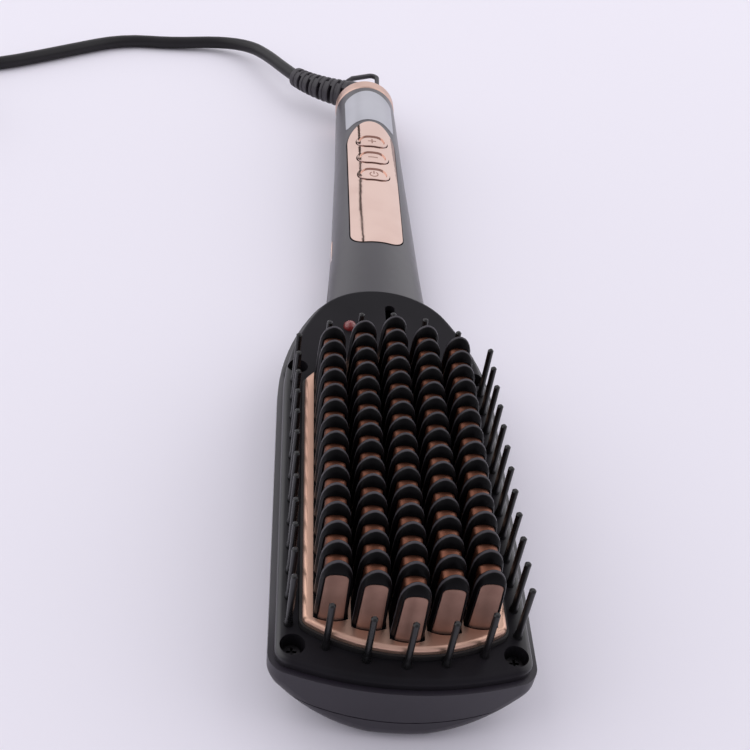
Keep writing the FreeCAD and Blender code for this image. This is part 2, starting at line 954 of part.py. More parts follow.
def bezel():
    """The frame that clamps the heating plate, with screw wells in its corners and a skirt inside."""
    body = new_body("bezel")
    fitted = head_outline(mm.wall + mm.fit_gap)
    pad(body, [head_outline(mm.bezel_inset)], mm.bezel_height - mm.rim_height, offset=mm.rim_height)
    outer_edge = level_edge(mm.bezel_height)
    round_edges(body, mm.bezel_round, outer_edge)
    pocket(body, [fitted], bezel_under - mm.rim_height, offset=mm.rim_height, upward=True)
    skirt = [head_outline(mm.skirt_inset), head_outline(mm.skirt_inset + mm.skirt_wall)]
    pad(body, skirt, bezel_under - mm.skirt_foot, offset=mm.skirt_foot)
    sleeve = mm.recess_radius + mm.sleeve_wall
    pad(body, [(x, y, sleeve) for x, y in bezel_screw_places], bezel_under - boss_top, offset=boss_top)
    around = rectangle(0, none, mm.head_width * 2, mm.overall_length * 2)
    pocket(body, [around, fitted], mm.rim_height - boss_top, offset=mm.rim_height)
    opening = plate_outline(mm.gasket_width + mm.fit_gap)
    pocket(body, [opening], mm.bezel_height, offset=mm.bezel_height)
    wells = [(x, y, mm.recess_radius) for x, y in bezel_screw_places]
    pocket(body, wells, mm.bezel_height - mm.recess_floor, offset=mm.bezel_height)
    ways = [(x, y, mm.screw_hole_radius) for x, y in bezel_screw_places]
    pins = [(x, y, mm.pin_radius) for places in pin_places.values() for x, y in places]
    lamp = (mm.lamp_x, along(mm.lamp_station), mm.lamp_radius)
    outlet = slot(mm.outlet_x, along(mm.outlet_station), mm.outlet_width, mm.outlet_length)
    pocket(body, ways + pins + [lamp, outlet], mm.bezel_height, offset=mm.bezel_height)


def pins(name, places, top):
    """Round-tipped plastic pins with a flared foot, each pressed through the bezel."""
    flare_top = mm.bezel_height + mm.pin_flare_height
    profile = [
        (none, bezel_under),
        (mm.pin_radius, bezel_under),
        (mm.pin_radius, mm.bezel_height),
        (mm.pin_flare_radius, mm.bezel_height),
        (mm.pin_radius, flare_top),
        (mm.pin_radius, top - mm.pin_tip),
        (mm.pin_tip, top),
        (none, top),
    ]
    group(name, [spin(name + "_pin", profile, x, y, none, UP, FACE_HEAD) for x, y in places])


bezel()
for name, places in pin_places.items():
    pins(name, places, mm.front_pin_top if name == "end_pins_front" else mm.side_pin_top)


# ---------------------------------------------------------------- heating plate and guard arches

ROW_ARCHES = (15, 16, 17, 16, 15)
ceiling = mm.plate_top - mm.plate_skin
heater_foot = ceiling - mm.heater_thickness
mica_foot = heater_foot - mm.mica_thickness
tray_top = mica_foot
tray_foot = tray_top - mm.tray_thickness
heater_y = along(mm.heater_station)
tray_screw_places = [
    (side * mm.tray_screw_spread / 2, along(station))
    for station in (mm.tray_screw_near, mm.tray_screw_far)
    for side in SIDES
]


def row_x(row):
    """The middle of a row, counted from the left."""
    return mm.row_pitch * (row - 2)


def row_length(row):
    return mm.arch_pitch * (ROW_ARCHES[row] - 1) + mm.arch_length


def row_front(row):
    """Every row is centred between the two ends of the plate at its own place."""
    x = row_x(row)
    front = along(mm.plate_front) + mm.plate_front_radius - other_side(mm.plate_front_radius, x)
    rear = along(mm.plate_rear) - mm.plate_rear_radius + other_side(mm.plate_rear_radius, x)
    return (front + rear - row_length(row)) / 2


def fin_form(grow):
    """Half widths at the foot and the shoulder, corner and top of a tapered fin, grown outward."""
    foot = mm.fin_width / 2 + grow
    corner = mm.fin_corner + grow
    side = mm.fin_top_width / 2 + grow
    top = mm.fin_top + grow
    return foot, side, corner, top


def row_seat(x, row, shrink):
    """The opening in the plate's top that a row stands in, with bowed ends, drawn in by shrink."""
    half = mm.arch_width / 2 + mm.foot_spread + mm.fit_gap - shrink
    front = row_front(row) - mm.recess_margin + shrink
    rear = row_front(row) + row_length(row) + mm.recess_margin - shrink
    return [
        (x + half, rear),
        (x - half, rear, mm.recess_end_radius),
        (x - half, front),
        (x + half, front, mm.recess_end_radius),
    ]


def heating_plate():
    """The plate with its five fins, a flange to clamp it by, and a hollow for the heater below."""
    body = new_body("heating_plate")
    pad(body, [plate_outline(none)], mm.plate_top - mm.plate_under, offset=mm.plate_under)
    round_edges(body, mm.plate_round, level_edge(mm.plate_top))
    pad(body, [plate_outline(mm.plate_flange)], mm.flange_thickness, offset=mm.plate_under)
    pocket(body, [plate_outline(-mm.plate_side)], ceiling - mm.plate_under, offset=mm.plate_under,
           upward=True)
    bosses = [(x, y, mm.tray_boss_radius) for x, y in tray_screw_places]
    pad(body, bosses, ceiling - tray_top, offset=tray_top)
    holes = [(x, y, mm.tray_screw_radius) for x, y in tray_screw_places]
    pocket(body, holes, mm.tray_screw_length - mm.tray_thickness, offset=tray_top, upward=True)
    seats = [row_seat(row_x(row), row, none) for row in range(len(ROW_ARCHES))]
    pocket(body, seats, mm.recess_depth, offset=mm.plate_top)
    for row in range(len(ROW_ARCHES)):
        x = row_x(row)
        foot, side, corner, top = fin_form(none)
        outline = [
            (x + foot, mm.fin_foot),
            (x + side, top - corner),
            (x + side - corner, top, corner),
            (x - side + corner, top),
            (x - side, top - corner, corner),
            (x - foot, mm.fin_foot),
        ]
        pad(body, [outline], row_length(row), "XZ_Plane", offset=-row_front(row), back=True)


def guard_row(row):
    """Black heatproof arches that straddle one fin and stand on a strip let into the plate."""
    body = new_body(f"guard_row_{row + 1}", x=row_x(row))
    body.AllowCompound = True
    foot, side, corner, top = fin_form(mm.fit_gap)
    half = mm.arch_width / 2
    shoulder = mm.arch_shoulder_width / 2
    base = mm.plate_top - mm.recess_depth
    crown = mm.arch_crown
    rise = mm.arch_top - crown - mm.arch_shoulder
    bow = (rise * rise + shoulder * shoulder - crown * crown) / (2 * (shoulder - crown))
    share = crown / (bow - crown)
    meet_x = share * (bow - shoulder)
    meet_z = mm.arch_top - crown + share * rise
    outline = [
        (half + mm.foot_spread, base),
        (half, base + mm.foot_height),
        (shoulder, mm.arch_shoulder),
        (meet_x, meet_z, bow),
        (-meet_x, meet_z, crown),
        (-shoulder, mm.arch_shoulder, bow),
        (-half, base + mm.foot_height),
        (-half - mm.foot_spread, base),
        (-foot, base),
        (-side, top - corner),
        (corner - side, top, -corner),
        (side - corner, top),
        (side, top - corner, -corner),
        (foot, base),
    ]
    first = pad(body, [outline], mm.arch_length, "XZ_Plane", offset=-row_front(row), back=True)
    repeat = body.newObject("PartDesign::LinearPattern", body.Name + "_repeat")
    repeat.Originals = [first]
    repeat.Direction = (origin_part(body, "Y_Axis"), [""])
    repeat.Occurrences = ROW_ARCHES[row]
    bind(repeat, Length=mm.arch_pitch * (ROW_ARCHES[row] - 1))
    body.Tip = repeat
    around_fin = rectangle(0, row_front(row) + row_length(row) / 2, foot * 2,
                           row_length(row) + mm.fit_gap * 2)
    pad(body, [row_seat(none, row, mm.fit_gap), around_fin], mm.recess_depth - mm.fit_gap, offset=base)


def plate_gasket():
    """The seal that fills the gap between the plate and the bezel."""
    body = new_body("plate_gasket")
    base = mm.plate_under + mm.flange_thickness
    ring = [plate_outline(mm.gasket_width), plate_outline(none)]
    pad(body, ring, mm.gasket_top - base, offset=base)


heating_plate()
plate_gasket()
for row in range(len(ROW_ARCHES)):
    guard_row(row)


# ---------------------------------------------------------------- inside the head

def block(name, outline, base, height):
    """A plain plate or block as one sub-part."""
    body = new_body(name)
    pad(body, [outline], height, offset=base)
    return body


def screws(name, places, head_base, head_radius, head_height, shank_radius, shank_length, down):
    """A set of equal screws, each a head and a shank, with a cross slot in the head."""
    pieces = []
    for x, y in places:
        shank_base = head_base - shank_length if down else head_base + head_height
        head = rod(name + "_head", x, y, head_base, head_radius, head_height)
        shank = rod(name + "_shank", x, y, shank_base, shank_radius, shank_length)
        slot_width = head_radius * 0.3
        slot_base = head_base + head_height / 2 if down else head_base
        slots = [
            middle_box(name + "_slot", x, y, slot_base, head_radius * 1.2, slot_width, head_height / 2),
            middle_box(name + "_slot", x, y, slot_base, slot_width, head_radius * 1.2, head_height / 2),
        ]
        pieces.append(cut(name + "_one", join(name + "_blank", [head, shank]), join(name + "_cross", slots)))
    group(name, pieces)


def heater_parts():
    """The flat heater pressed against the plate by a tray, with its two safety parts."""
    heater = rectangle(0, heater_y, mm.heater_width, mm.heater_length)
    block("heater_element", heater, heater_foot, mm.heater_thickness)
    mica = rectangle(0, heater_y, mm.heater_width + mm.tray_margin, mm.heater_length + mm.tray_margin)
    block("mica_sheet", mica, mica_foot, mm.mica_thickness)
    reach = mm.tray_boss_radius * 2
    tray = block(
        "heater_tray",
        rectangle(0, heater_y, mm.tray_screw_spread + reach, mm.heater_length + mm.tray_margin),
        tray_foot, mm.tray_thickness)
    pocket(tray, [(x, y, mm.tray_screw_radius) for x, y in tray_screw_places], mm.tray_thickness,
           offset=tray_top)
    screws("tray_screws", tray_screw_places, tray_foot - mm.tray_screw_head / 2, mm.tray_screw_head,
           mm.tray_screw_head / 2, mm.tray_screw_radius, mm.tray_screw_length, down=False)


def safety_parts():
    """A bead thermistor on the mica's rear end and a thermal fuse under the tray."""
    bead = mm.heater_thickness / 2
    rear = heater_y + mm.heater_length / 2 + mm.tray_margin + bead
    keep(rod("thermistor", -mm.heater_width / 4, rear, ceiling - bead, bead, mm.heater_width / 2, ACROSS),
         "thermistor")
    keep(rod("thermal_fuse", -mm.heater_width / 4, heater_y, tray_foot - bead, bead, mm.heater_width / 2,
             ACROSS), "thermal_fuse")


def lamp():
    """The signal lamp: a domed lens in the bezel and the diode behind it."""
    y = along(mm.lamp_station)
    base = bezel_under - mm.lamp_flange / 3
    crown = mm.bezel_height + mm.lamp_radius
    lens = spin(
        "indicator_lens",
        [
            (none, base),
            (mm.lamp_flange, base),
            (mm.lamp_flange, bezel_under),
            (mm.lamp_radius, bezel_under),
            (mm.lamp_radius, mm.bezel_height),
            (none, crown, mm.lamp_radius),
        ],
        mm.lamp_x, y, none, UP, FACE_HEAD)
    keep(lens, "indicator_lens")
    diode = rod("diode", mm.lamp_x, y, base - mm.lamp_led_length, mm.lamp_led_radius, mm.lamp_led_length)
    keep(diode, "indicator_led")


def ion_parts():
    """The ion source on its rests, with a needle that stands in the outlet."""
    y = along(mm.ion_station)
    keep(middle_box("ion_box", 0, y, mm.ion_floor, mm.ion_width, mm.ion_length, mm.ion_height), "ion_module")
    top = mm.ion_floor + mm.ion_height
    tip = bezel_under - mm.needle_base
    needle = spin(
        "ion_needle",
        [(none, top), (mm.needle_base, top), (mm.needle_base, top + 1), (mm.needle_radius, top + 1),
         (mm.needle_radius, tip - 1), (none, tip)],
        mm.outlet_x, along(mm.outlet_station), none, UP, FACE_HEAD)
    keep(needle, "ion_needle")


heater_parts()
safety_parts()
lamp()
ion_parts()
screws("bezel_screws", bezel_screw_places, mm.recess_floor, mm.screw_head_radius, mm.screw_head_height,
       mm.screw_radius, mm.recess_floor_wall + mm.bezel_screw_grip, down=True)


# ---------------------------------------------------------------- handle

def control_panel():
    """The polished panel that follows the handle's curve, with an opening for each button."""
    skin = cut("panel_skin", handle_solid("over_panel", -mm.panel_proud), under_panel)
    prism = extrude("panel_plan", [panel_outline(none)], mm.bezel_height, z=mm.handle_seam)
    openings = [
        button_prism(f"{name}_hole", y, mm.button_gap, mm.handle_seam) for name, y in button_places.items()
    ]
    blank = common("panel_blank", prism, skin)
    keep(cut("control_panel", blank, join("panel_openings", openings)), "control_panel")


def button(name, y, crown, dish):
    """A dished cap with a flange below the casing and a stem into its switch."""
    cap_base = mm.button_flange_top - mm.button_flange
    cap = common(f"{name}_cap", button_prism(f"{name}_plan", y, none, cap_base), crown)
    hollow = cut(f"{name}_hollow", button_prism(f"{name}_inner", y, -mm.button_lip, cap_base), dish)
    reach = mm.button_flange_reach * 2
    flange = middle_box(
        f"{name}_flange", 0, y, cap_base, mm.button_width + reach, mm.button_length + reach,
        mm.button_flange)
    stem = rod(f"{name}_stem", 0, y, mm.stem_foot, mm.stem_radius, cap_base - mm.stem_foot)
    pieces = [cut(f"{name}_dished", cap, hollow), flange, stem]
    keep(join(f"button_{name}", pieces), f"button_{name}")


def electronics():
    """The circuit board with its screws, the switches under the buttons and the hidden display."""
    middle = (along(mm.board_near) + along(mm.board_far)) / 2
    outline = rectangle(0, middle, mm.board_width, mm.board_far - mm.board_near)
    board = block("main_pcb", outline, mm.board_under, mm.board_thickness)
    holes = [(x, y, mm.board_screw_radius) for x, y in board_screw_places]
    pocket(board, holes, mm.board_thickness, offset=board_top)
    screws("pcb_screws", board_screw_places, mm.board_under - mm.board_screw_head / 2, mm.board_screw_head,
           mm.board_screw_head / 2, mm.board_screw_radius, mm.board_thickness + mm.board_post_grip,
           down=False)
    switches = []
    for y in button_places.values():
        base = middle_box("switch_block", 0, y, board_top, mm.switch_side, mm.switch_side, mm.switch_height)
        bore = rod("switch_bore", 0, y, mm.switch_bore_floor, mm.switch_bore, mm.switch_height)
        switches.append(cut("switch", base, bore))
    group("tact_switches", switches)
    keep(middle_box("display", 0, along(mm.display_station), board_top, mm.display_width, mm.display_length,
                    mm.display_top - board_top), "display_module")


def side_key():
    """The key in the handle's side: a face in its window, a flange inside the wall and a stem."""
    y = along(mm.key_station)
    z = mm.key_height
    face = middle_box("key_face", -(mm.key_face + mm.key_inside) / 2, y, z - mm.key_tall / 2,
                      mm.key_face - mm.key_inside, mm.key_length, mm.key_tall)
    flange = middle_box(
        "key_flange", mm.key_flange / 2 - mm.key_inside, y, z - mm.key_tall / 2 - mm.key_flange_rise,
        mm.key_flange, mm.key_length + mm.key_flange_reach * 2, mm.key_tall + mm.key_flange_rise * 2)
    stem = rod("key_stem", mm.key_flange - mm.key_inside, y, z, mm.key_stem, mm.key_stem_length, ACROSS)
    keep(join("side_key", [face, flange, stem]), "side_key")
    low = mm.board_under - mm.switch_side
    base = middle_box("side_switch_block", mm.side_switch_depth / 2 - mm.side_switch_outer, y, low,
                      mm.side_switch_depth, mm.switch_side, mm.switch_side)
    bore = rod("side_switch_bore", -mm.side_switch_outer, y, z, mm.switch_bore,
               mm.side_switch_depth - mm.switch_height / 2, ACROSS)
    keep(cut("side_switch", base, bore), "side_switch")


control_panel()
crown = handle_solid("button_crown", -mm.panel_proud - mm.button_proud)
dish = handle_solid("button_bed", mm.button_dish - mm.panel_proud - mm.button_proud)
for name, y in button_places.items():
    button(name, y, crown, dish)
electronics()
side_key()
screws("shell_screws", [(none, y) for y in shell_screw_stations],
       mm.shell_screw_floor - mm.screw_head_height, mm.screw_head_radius, mm.screw_head_height,
       mm.screw_radius, mm.shell_boss_meet - mm.shell_screw_floor + mm.shell_screw_grip, down=False)


# ---------------------------------------------------------------- tail and swivelling gland

axis_height = mm.ring_radius
ring_end = along(mm.brush_length)
ring_start = along(mm.tail_station)
retainer_end = along(mm.ring_inside) - mm.gland_gap
retainer_start = retainer_end - mm.retainer_thickness


def tail_spin(name, corners):
    return spin(name, corners, none, none, axis_height, TAILWARD)


def tail_ring():
    """The metal-look ring that closes the handle and carries the gland in its bore."""
    bore = mm.gland_journal + mm.journal_gap
    edge = mm.ring_radius - mm.ring_round
    keep(tail_spin("tail_ring", [
        (bore, along(mm.ring_inside)),
        (mm.ring_spigot, along(mm.ring_inside)),
        (mm.ring_spigot, ring_start),
        (edge, ring_start),
        (mm.ring_radius, ring_start + mm.ring_round, mm.ring_round),
        (mm.ring_radius, ring_end - mm.ring_round),
        (edge, ring_end, mm.ring_round),
        (bore, ring_end),
    ]), "tail_ring")


def lying(x, station, height):
    """A point of the cord's way, which keeps its place along the brush."""
    return Vector(x, along(station).value, height)


# The gland's elbow and the bend relief lie in one sloping plane. Its first direction is the straight
# line from the relief's root to its end; the relief bows to the left of that line.
RELIEF_ROOT = lying(-6.2, 316.8, 12.5)
RELIEF_END = lying(-29.5, 333.8, 10.0)
RELIEF_BOW = 16.0
RELIEF_RIBS = 8
relief_line = (RELIEF_END - RELIEF_ROOT).normalize()
relief_left = UP.cross(relief_line).normalize()
relief_frame = Placement(RELIEF_ROOT, Rotation(relief_line, relief_left, relief_line.cross(relief_left)))
relief_span = (RELIEF_END - RELIEF_ROOT).Length
relief_bend = relief_span / 2 / math.sin(math.radians(RELIEF_BOW))
relief_length = 2 * relief_bend * math.radians(RELIEF_BOW)


def on_relief(length):
    """The place on the relief's middle line, with local Z along the line."""
    turned = math.radians(RELIEF_BOW) * (1 - 2 * length / relief_length)
    x = relief_span / 2 - relief_bend * math.sin(turned)
    y = relief_bend * (math.cos(turned) - math.cos(math.radians(RELIEF_BOW)))
    heading = Rotation(UP, math.degrees(turned)) * ACROSS
    return relief_frame * Placement(Vector(x, y, 0), heading)


def gland():
    """The gland: a journal in the ring, a dome, an elbow toward the relief and a hanging loop."""
    collar = ring_end + mm.gland_gap
    dome_start = collar + mm.gland_collar
    turned = tail_spin("gland_dome", [
        (none, retainer_start),
        (mm.gland_journal, retainer_start),
        (mm.gland_journal, collar),
        (mm.gland_radius, collar),
        (mm.gland_radius, dome_start),
        (none, dome_start + mm.gland_radius, mm.gland_radius),
    ])
    root_place = on_relief(0)
    back = root_place.Rotation.multVec(UP) * mm.elbow_length.value
    elbow_start = Placement(RELIEF_ROOT - back, root_place.Rotation)
    elbow = document.addObject("Part::Cylinder", "gland_elbow")
    bind(elbow, Radius=mm.relief_radius, Height=mm.elbow_length)
    elbow.Placement = elbow_start
    knuckle = document.addObject("Part::Sphere", "gland_knuckle")
    bind(knuckle, Radius=mm.elbow_radius)
    knuckle.Placement = Placement(elbow_start.Base, Rotation())
    keep(join("swivel_gland", [turned, elbow, knuckle, hang_loop()]), "swivel_gland")
    keep(tail_spin("gland_retainer", [
        (mm.gland_journal, retainer_start),
        (mm.retainer_radius, retainer_start),
        (mm.retainer_radius, retainer_end),
        (mm.gland_journal, retainer_end),
    ]), "gland_retainer")


def hang_loop():
    """A flat strap from the elbow round to the dome, which leaves an eye to hang the brush by."""
    ring = [
        (6.4, along(313.0)),
        (6.9, along(331.2)),
        (5.6, along(332.0), 1.0),
        (-6.4, along(326.2)),
        (-4.0, along(322.9)),
        (-3.6, along(316.6)),
        (-1.6, along(316.6)),
        (-2.0, along(323.6)),
        (-3.0, along(325.3)),
        (4.5, along(328.9)),
        (4.1, along(313.0)),
    ]
    return extrude("hang_strap", [ring], mm.loop_height, z=mm.loop_level - mm.loop_height / 2)


def bend_relief():
    """The ribbed sleeve that keeps the cord from kinking: a core with ribs that grow thinner."""
    core = document.addObject("Part::Torus", "relief_core")
    bind(core, Radius2=mm.relief_core)
    core.Radius1 = relief_bend
    core.Angle3 = RELIEF_BOW * 2
    centre = Vector(relief_span / 2, -relief_bend * math.cos(math.radians(RELIEF_BOW)), 0)
    core.Placement = relief_frame * Placement(centre, Rotation(UP, 90 - RELIEF_BOW))
    pitch = (relief_length + mm.relief_slot.value) / RELIEF_RIBS
    pieces = [core]
    for rib in range(RELIEF_RIBS):
        piece = document.addObject("Part::Cone", "relief_rib")
        place_along = pitch * rib
        share = place_along / relief_length
        radius = mm.relief_radius.value * (1 - share) + mm.relief_end_radius.value * share
        next_share = share + (pitch - mm.relief_slot.value) / relief_length
        next_radius = mm.relief_radius.value * (1 - next_share) + mm.relief_end_radius.value * next_share
        piece.Radius1 = radius
        piece.Radius2 = next_radius
        piece.Height = pitch - mm.relief_slot.value
        piece.Placement = on_relief(place_along)
        pieces.append(piece)
    keep(join("bend_relief", pieces), "bend_relief")


def contacts():
    """Slip rings behind the gland and the contact block below them, so that the cord can turn."""
    start = retainer_start - mm.slip_length
    corners = [(none, start), (mm.slip_core, start)]
    for ring in (1, 3):
        near_face = start + mm.slip_width * ring
        corners += [
            (mm.slip_core, near_face),
            (mm.slip_ring, near_face),
            (mm.slip_ring, near_face + mm.slip_width),
            (mm.slip_core, near_face + mm.slip_width),
        ]
    corners += [(mm.slip_core, retainer_start), (none, retainer_start)]
    keep(tail_spin("slip_rings", corners), "slip_rings")
    top = axis_height - mm.slip_ring - mm.gland_gap
    blank = middle_box("contact_blank", 0, start + mm.contact_length / 2, mm.wall / 2, mm.contact_width,
                       mm.contact_length, top - mm.wall / 2)
    keep(common("contact_block", blank, inside), "contact_block")


tail_ring()
gland()
bend_relief()
contacts()


# ---------------------------------------------------------------- cord, coil and plug

cord_radius = mm.cord_diameter / 2
coil_y = along(mm.coil_station)
away = on_relief(relief_length).Rotation.multVec(UP)
FIRST_RUN = 19.5
ROUTE = [
    RELIEF_END,
    RELIEF_END + away * FIRST_RUN,
    lying(-56.0, 368.0, 4.6),
    lying(-78.0, 375.5, 2.75),
    lying(-104.0, 370.5, 2.75),
    lying(-132.0, 356.5, 2.75),
    lying(-160.0, 334.5, 2.75),
    lying(-186.0, 320.0, 2.75),
    lying(-212.0, 320.0, 2.75),
]


def rounded_path(points):
    """Straight runs with tangent arcs between them, as a wire."""
    edges = []
    last = points[0]
    for before, here, after in zip(points, points[1:], points[2:]):
        inward = (before - here)
        outward = (after - here)
        half_turn = (math.pi - inward.getAngle(outward)) / 2
        trim = 0.45 * min(inward.Length, outward.Length)
        arc_radius = trim / math.tan(half_turn)
        arc_start = here + inward.normalize() * trim
        arc_end = here + outward.normalize() * trim
        bisector = (inward + outward).normalize()
        middle = here + bisector * arc_radius * (1 / math.cos(half_turn) - 1)
        print(f"cord bend radius {arc_radius:.1f}")
        edges.append(Part.LineSegment(last, arc_start).toShape())
        edges.append(Part.Arc(arc_start, middle, arc_end).toShape())
        last = arc_end
    edges.append(Part.LineSegment(last, points[-1]).toShape())
    return Part.Wire(edges)


def cord():
    """The free part of the cord, from the relief to the coil."""
    path = document.addObject("Part::Feature", "cord_path")
    path.Shape = rounded_path(ROUTE)
    section = document.addObject("Part::Circle", "cord_section")
    bind(section, Radius=cord_radius)
    section.Placement = on_relief(relief_length)
    tube = document.addObject("Part::Sweep", "cord_tube")
    tube.Sections = [section]
    tube.Spine = (path, [f"Edge{index + 1}" for index in range(len(path.Shape.Edges))])
    tube.Solid = True
    keep(tube, "cord_tube")


def cord_coil():
    """The put-away length of cord, as one closed ring with a seat for each end and for the tie."""
    body = new_body("cord_coil", mm.coil_x, coil_y, 0)
    inner = mm.coil_inner_turn - cord_radius
    outer = mm.coil_outer_turn + cord_radius
    pad(body, [(none, none, outer), (none, none, inner)], mm.coil_height)
    seat = cord_radius + mm.fit_gap
    pocket(body, [rectangle(mm.lead_length / 2, mm.coil_outer_turn, mm.lead_length, seat * 2)],
           mm.cord_diameter + mm.fit_gap, offset=none, upward=True)
    pocket(body, [rectangle(-mm.coil_outer_turn, -mm.lead_length / 2, seat * 2, mm.lead_length)],
           seat * 2, offset=mm.lead_height - seat, upward=True)
    tie_middle = (inner + outer) / 2
    pocket(body, [rectangle(tie_middle, none, outer - inner + 2, mm.tie_width)], mm.tie_thickness,
           offset=none, upward=True)


def coil_tie():
    """A strap round the coil's section."""
    inner = mm.coil_inner_turn - cord_radius
    outer = mm.coil_outer_turn + cord_radius
    slack = mm.tie_thickness / 2 + mm.fit_gap
    thick = mm.tie_thickness
    low = inner - slack
    high = outer + mm.fit_gap
    body = new_body("coil_tie", mm.coil_x, coil_y, 0)
    strap = [
        [(high + thick, none), (high + thick, mm.coil_height + thick), (low - thick, mm.coil_height + thick),
         (low - thick, none)],
        [(high, thick), (high, mm.coil_height), (low, mm.coil_height), (low, thick)],
    ]
    pad(body, strap, mm.tie_width, "XZ_Plane", middle=True)


lead_x = mm.coil_x - mm.coil_outer_turn
lead_end = coil_y - mm.lead_length


def plug():
    """The plug: sleeve and body in one moulding, and its two prongs."""
    keep(rod("lead", lead_x, coil_y, mm.lead_height, cord_radius, mm.lead_length, FACE_HEAD),
         "cord_lead")
    body = new_body("plug_body", lead_x, lead_end, mm.lead_height)
    front = 0 - mm.plug_sleeve_length
    outline = rectangle(0, front - mm.plug_length / 2, mm.plug_width, mm.plug_length)
    pad(body, [outline], mm.plug_height, middle=True)
    round_edges(body, mm.plug_round, lambda edge: edge.Length > 2)
    revolve(body, [
        (none, front - mm.plug_round),
        (mm.plug_sleeve_radius, front - mm.plug_round),
        (mm.plug_sleeve_radius, front),
        (cord_radius + 1, none),
        (none, none),
    ], plane="XY_Plane", axis="Y_Axis")
    face = lead_end - mm.plug_sleeve_length - mm.plug_length
    prongs = [
        rod("prong", lead_x + side * mm.prong_spacing / 2, face, mm.lead_height, mm.prong_radius,
            mm.prong_length, FACE_HEAD)
        for side in SIDES
    ]
    group("plug_pins", prongs)


cord()
cord_coil()
coil_tie()
plug()


# ---------------------------------------------------------------- check and write

document.recompute()
for item in document.Objects:
    if "Invalid" in item.State or "Error" in item.State:
        raise ValueError(f"{item.Label} did not compute: {item.State}")
os.makedirs("parts", exist_ok=True)
for node in nodes:
    shape = node.Shape
    if shape.isNull() or not shape.isValid() or shape.Volume <= 0:
        raise ValueError(f"{node.Label} has no valid shape")
    for solid in shape.Solids:
        if solid.Volume <= 0:
            raise ValueError(f"{node.Label} has a solid with no volume")
    shape.exportStep(f"parts/{node.Label}.step")
    print(f"{node.Label} {len(shape.Solids)} solids, {shape.Volume:.1f} mm3")
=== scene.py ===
# %% [markdown]
# # A steam straightener brush, dressed in Blender
# The brush lies on its back with its teeth up, its head toward -Y and its handle toward +Y. The
# solid parts come from the CAD model in metres, in the place where they belong. This lesson adds
# what a CAD model leaves out: the cord's free curve, the label, the small marks and every finish.

import json
import math

import bmesh
import bpy
from mathutils import Matrix, Vector


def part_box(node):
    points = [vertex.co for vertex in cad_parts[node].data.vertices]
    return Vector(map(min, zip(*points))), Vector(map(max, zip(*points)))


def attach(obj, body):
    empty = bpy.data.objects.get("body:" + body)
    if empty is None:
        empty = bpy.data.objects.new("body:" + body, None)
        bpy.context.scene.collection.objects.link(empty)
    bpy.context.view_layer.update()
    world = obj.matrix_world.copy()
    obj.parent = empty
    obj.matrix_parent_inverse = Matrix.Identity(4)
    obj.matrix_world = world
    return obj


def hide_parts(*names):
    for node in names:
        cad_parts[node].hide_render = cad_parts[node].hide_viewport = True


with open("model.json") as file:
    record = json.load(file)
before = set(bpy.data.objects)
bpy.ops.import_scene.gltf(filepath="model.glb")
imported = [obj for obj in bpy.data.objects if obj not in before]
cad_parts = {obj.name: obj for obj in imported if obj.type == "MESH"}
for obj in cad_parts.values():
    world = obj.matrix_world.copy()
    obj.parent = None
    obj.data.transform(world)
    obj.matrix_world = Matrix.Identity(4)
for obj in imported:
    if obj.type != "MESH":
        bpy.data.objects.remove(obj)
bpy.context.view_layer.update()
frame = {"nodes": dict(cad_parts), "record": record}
nodes = frame["nodes"]


# %% [markdown]
# ## The camera
# A camera in Blender looks along its own -Z, with +Y up. Its matrix can be written as three
# directions and a place: right, up and backward. That is surer than three angles, because nothing
# depends on the order of the turns. The brush is seen from in front of its head, from a little to
# the left, about 39 degrees above the table, and the camera is rolled by about 10 degrees.

# %% The camera
MM = 0.001


def at(x, y, z):
    """A place given in millimetres."""
    return Vector((x, y, z)) * MM


def link(piece):
    """Puts an object into the scene and hands it back."""
    bpy.context.scene.collection.objects.link(piece)
    return piece


def studio_camera(place, azimuth, elevation, roll, lens):
    """The angles are in degrees and the lens is in millimetres."""
    side, rise, tilt = (math.radians(angle) for angle in (azimuth, elevation, roll))
    forward = Vector((
        -math.sin(side) * math.cos(rise), math.cos(side) * math.cos(rise), -math.sin(rise)))
    level = Vector((math.cos(side), math.sin(side), 0))
    upright = level.cross(forward)
    right = math.cos(tilt) * level + math.sin(tilt) * upright
    up = math.cos(tilt) * upright - math.sin(tilt) * level
    data = bpy.data.cameras.new("studio_camera")
    data.sensor_width = 36
    data.lens = lens
    data.clip_start = 0.01
    camera = link(bpy.data.objects.new("studio_camera", data))
    turn = Matrix((right, up, -forward)).transposed().to_4x4()
    camera.matrix_world = Matrix.Translation(place) @ turn
    return camera


camera = studio_camera(
    place=at(-45.44, -335.79, 255.35), azimuth=-8.38, elevation=39.15, roll=9.88, lens=58.06)
bpy.context.scene.camera = camera
print("camera at", [round(value, 3) for value in camera.location])
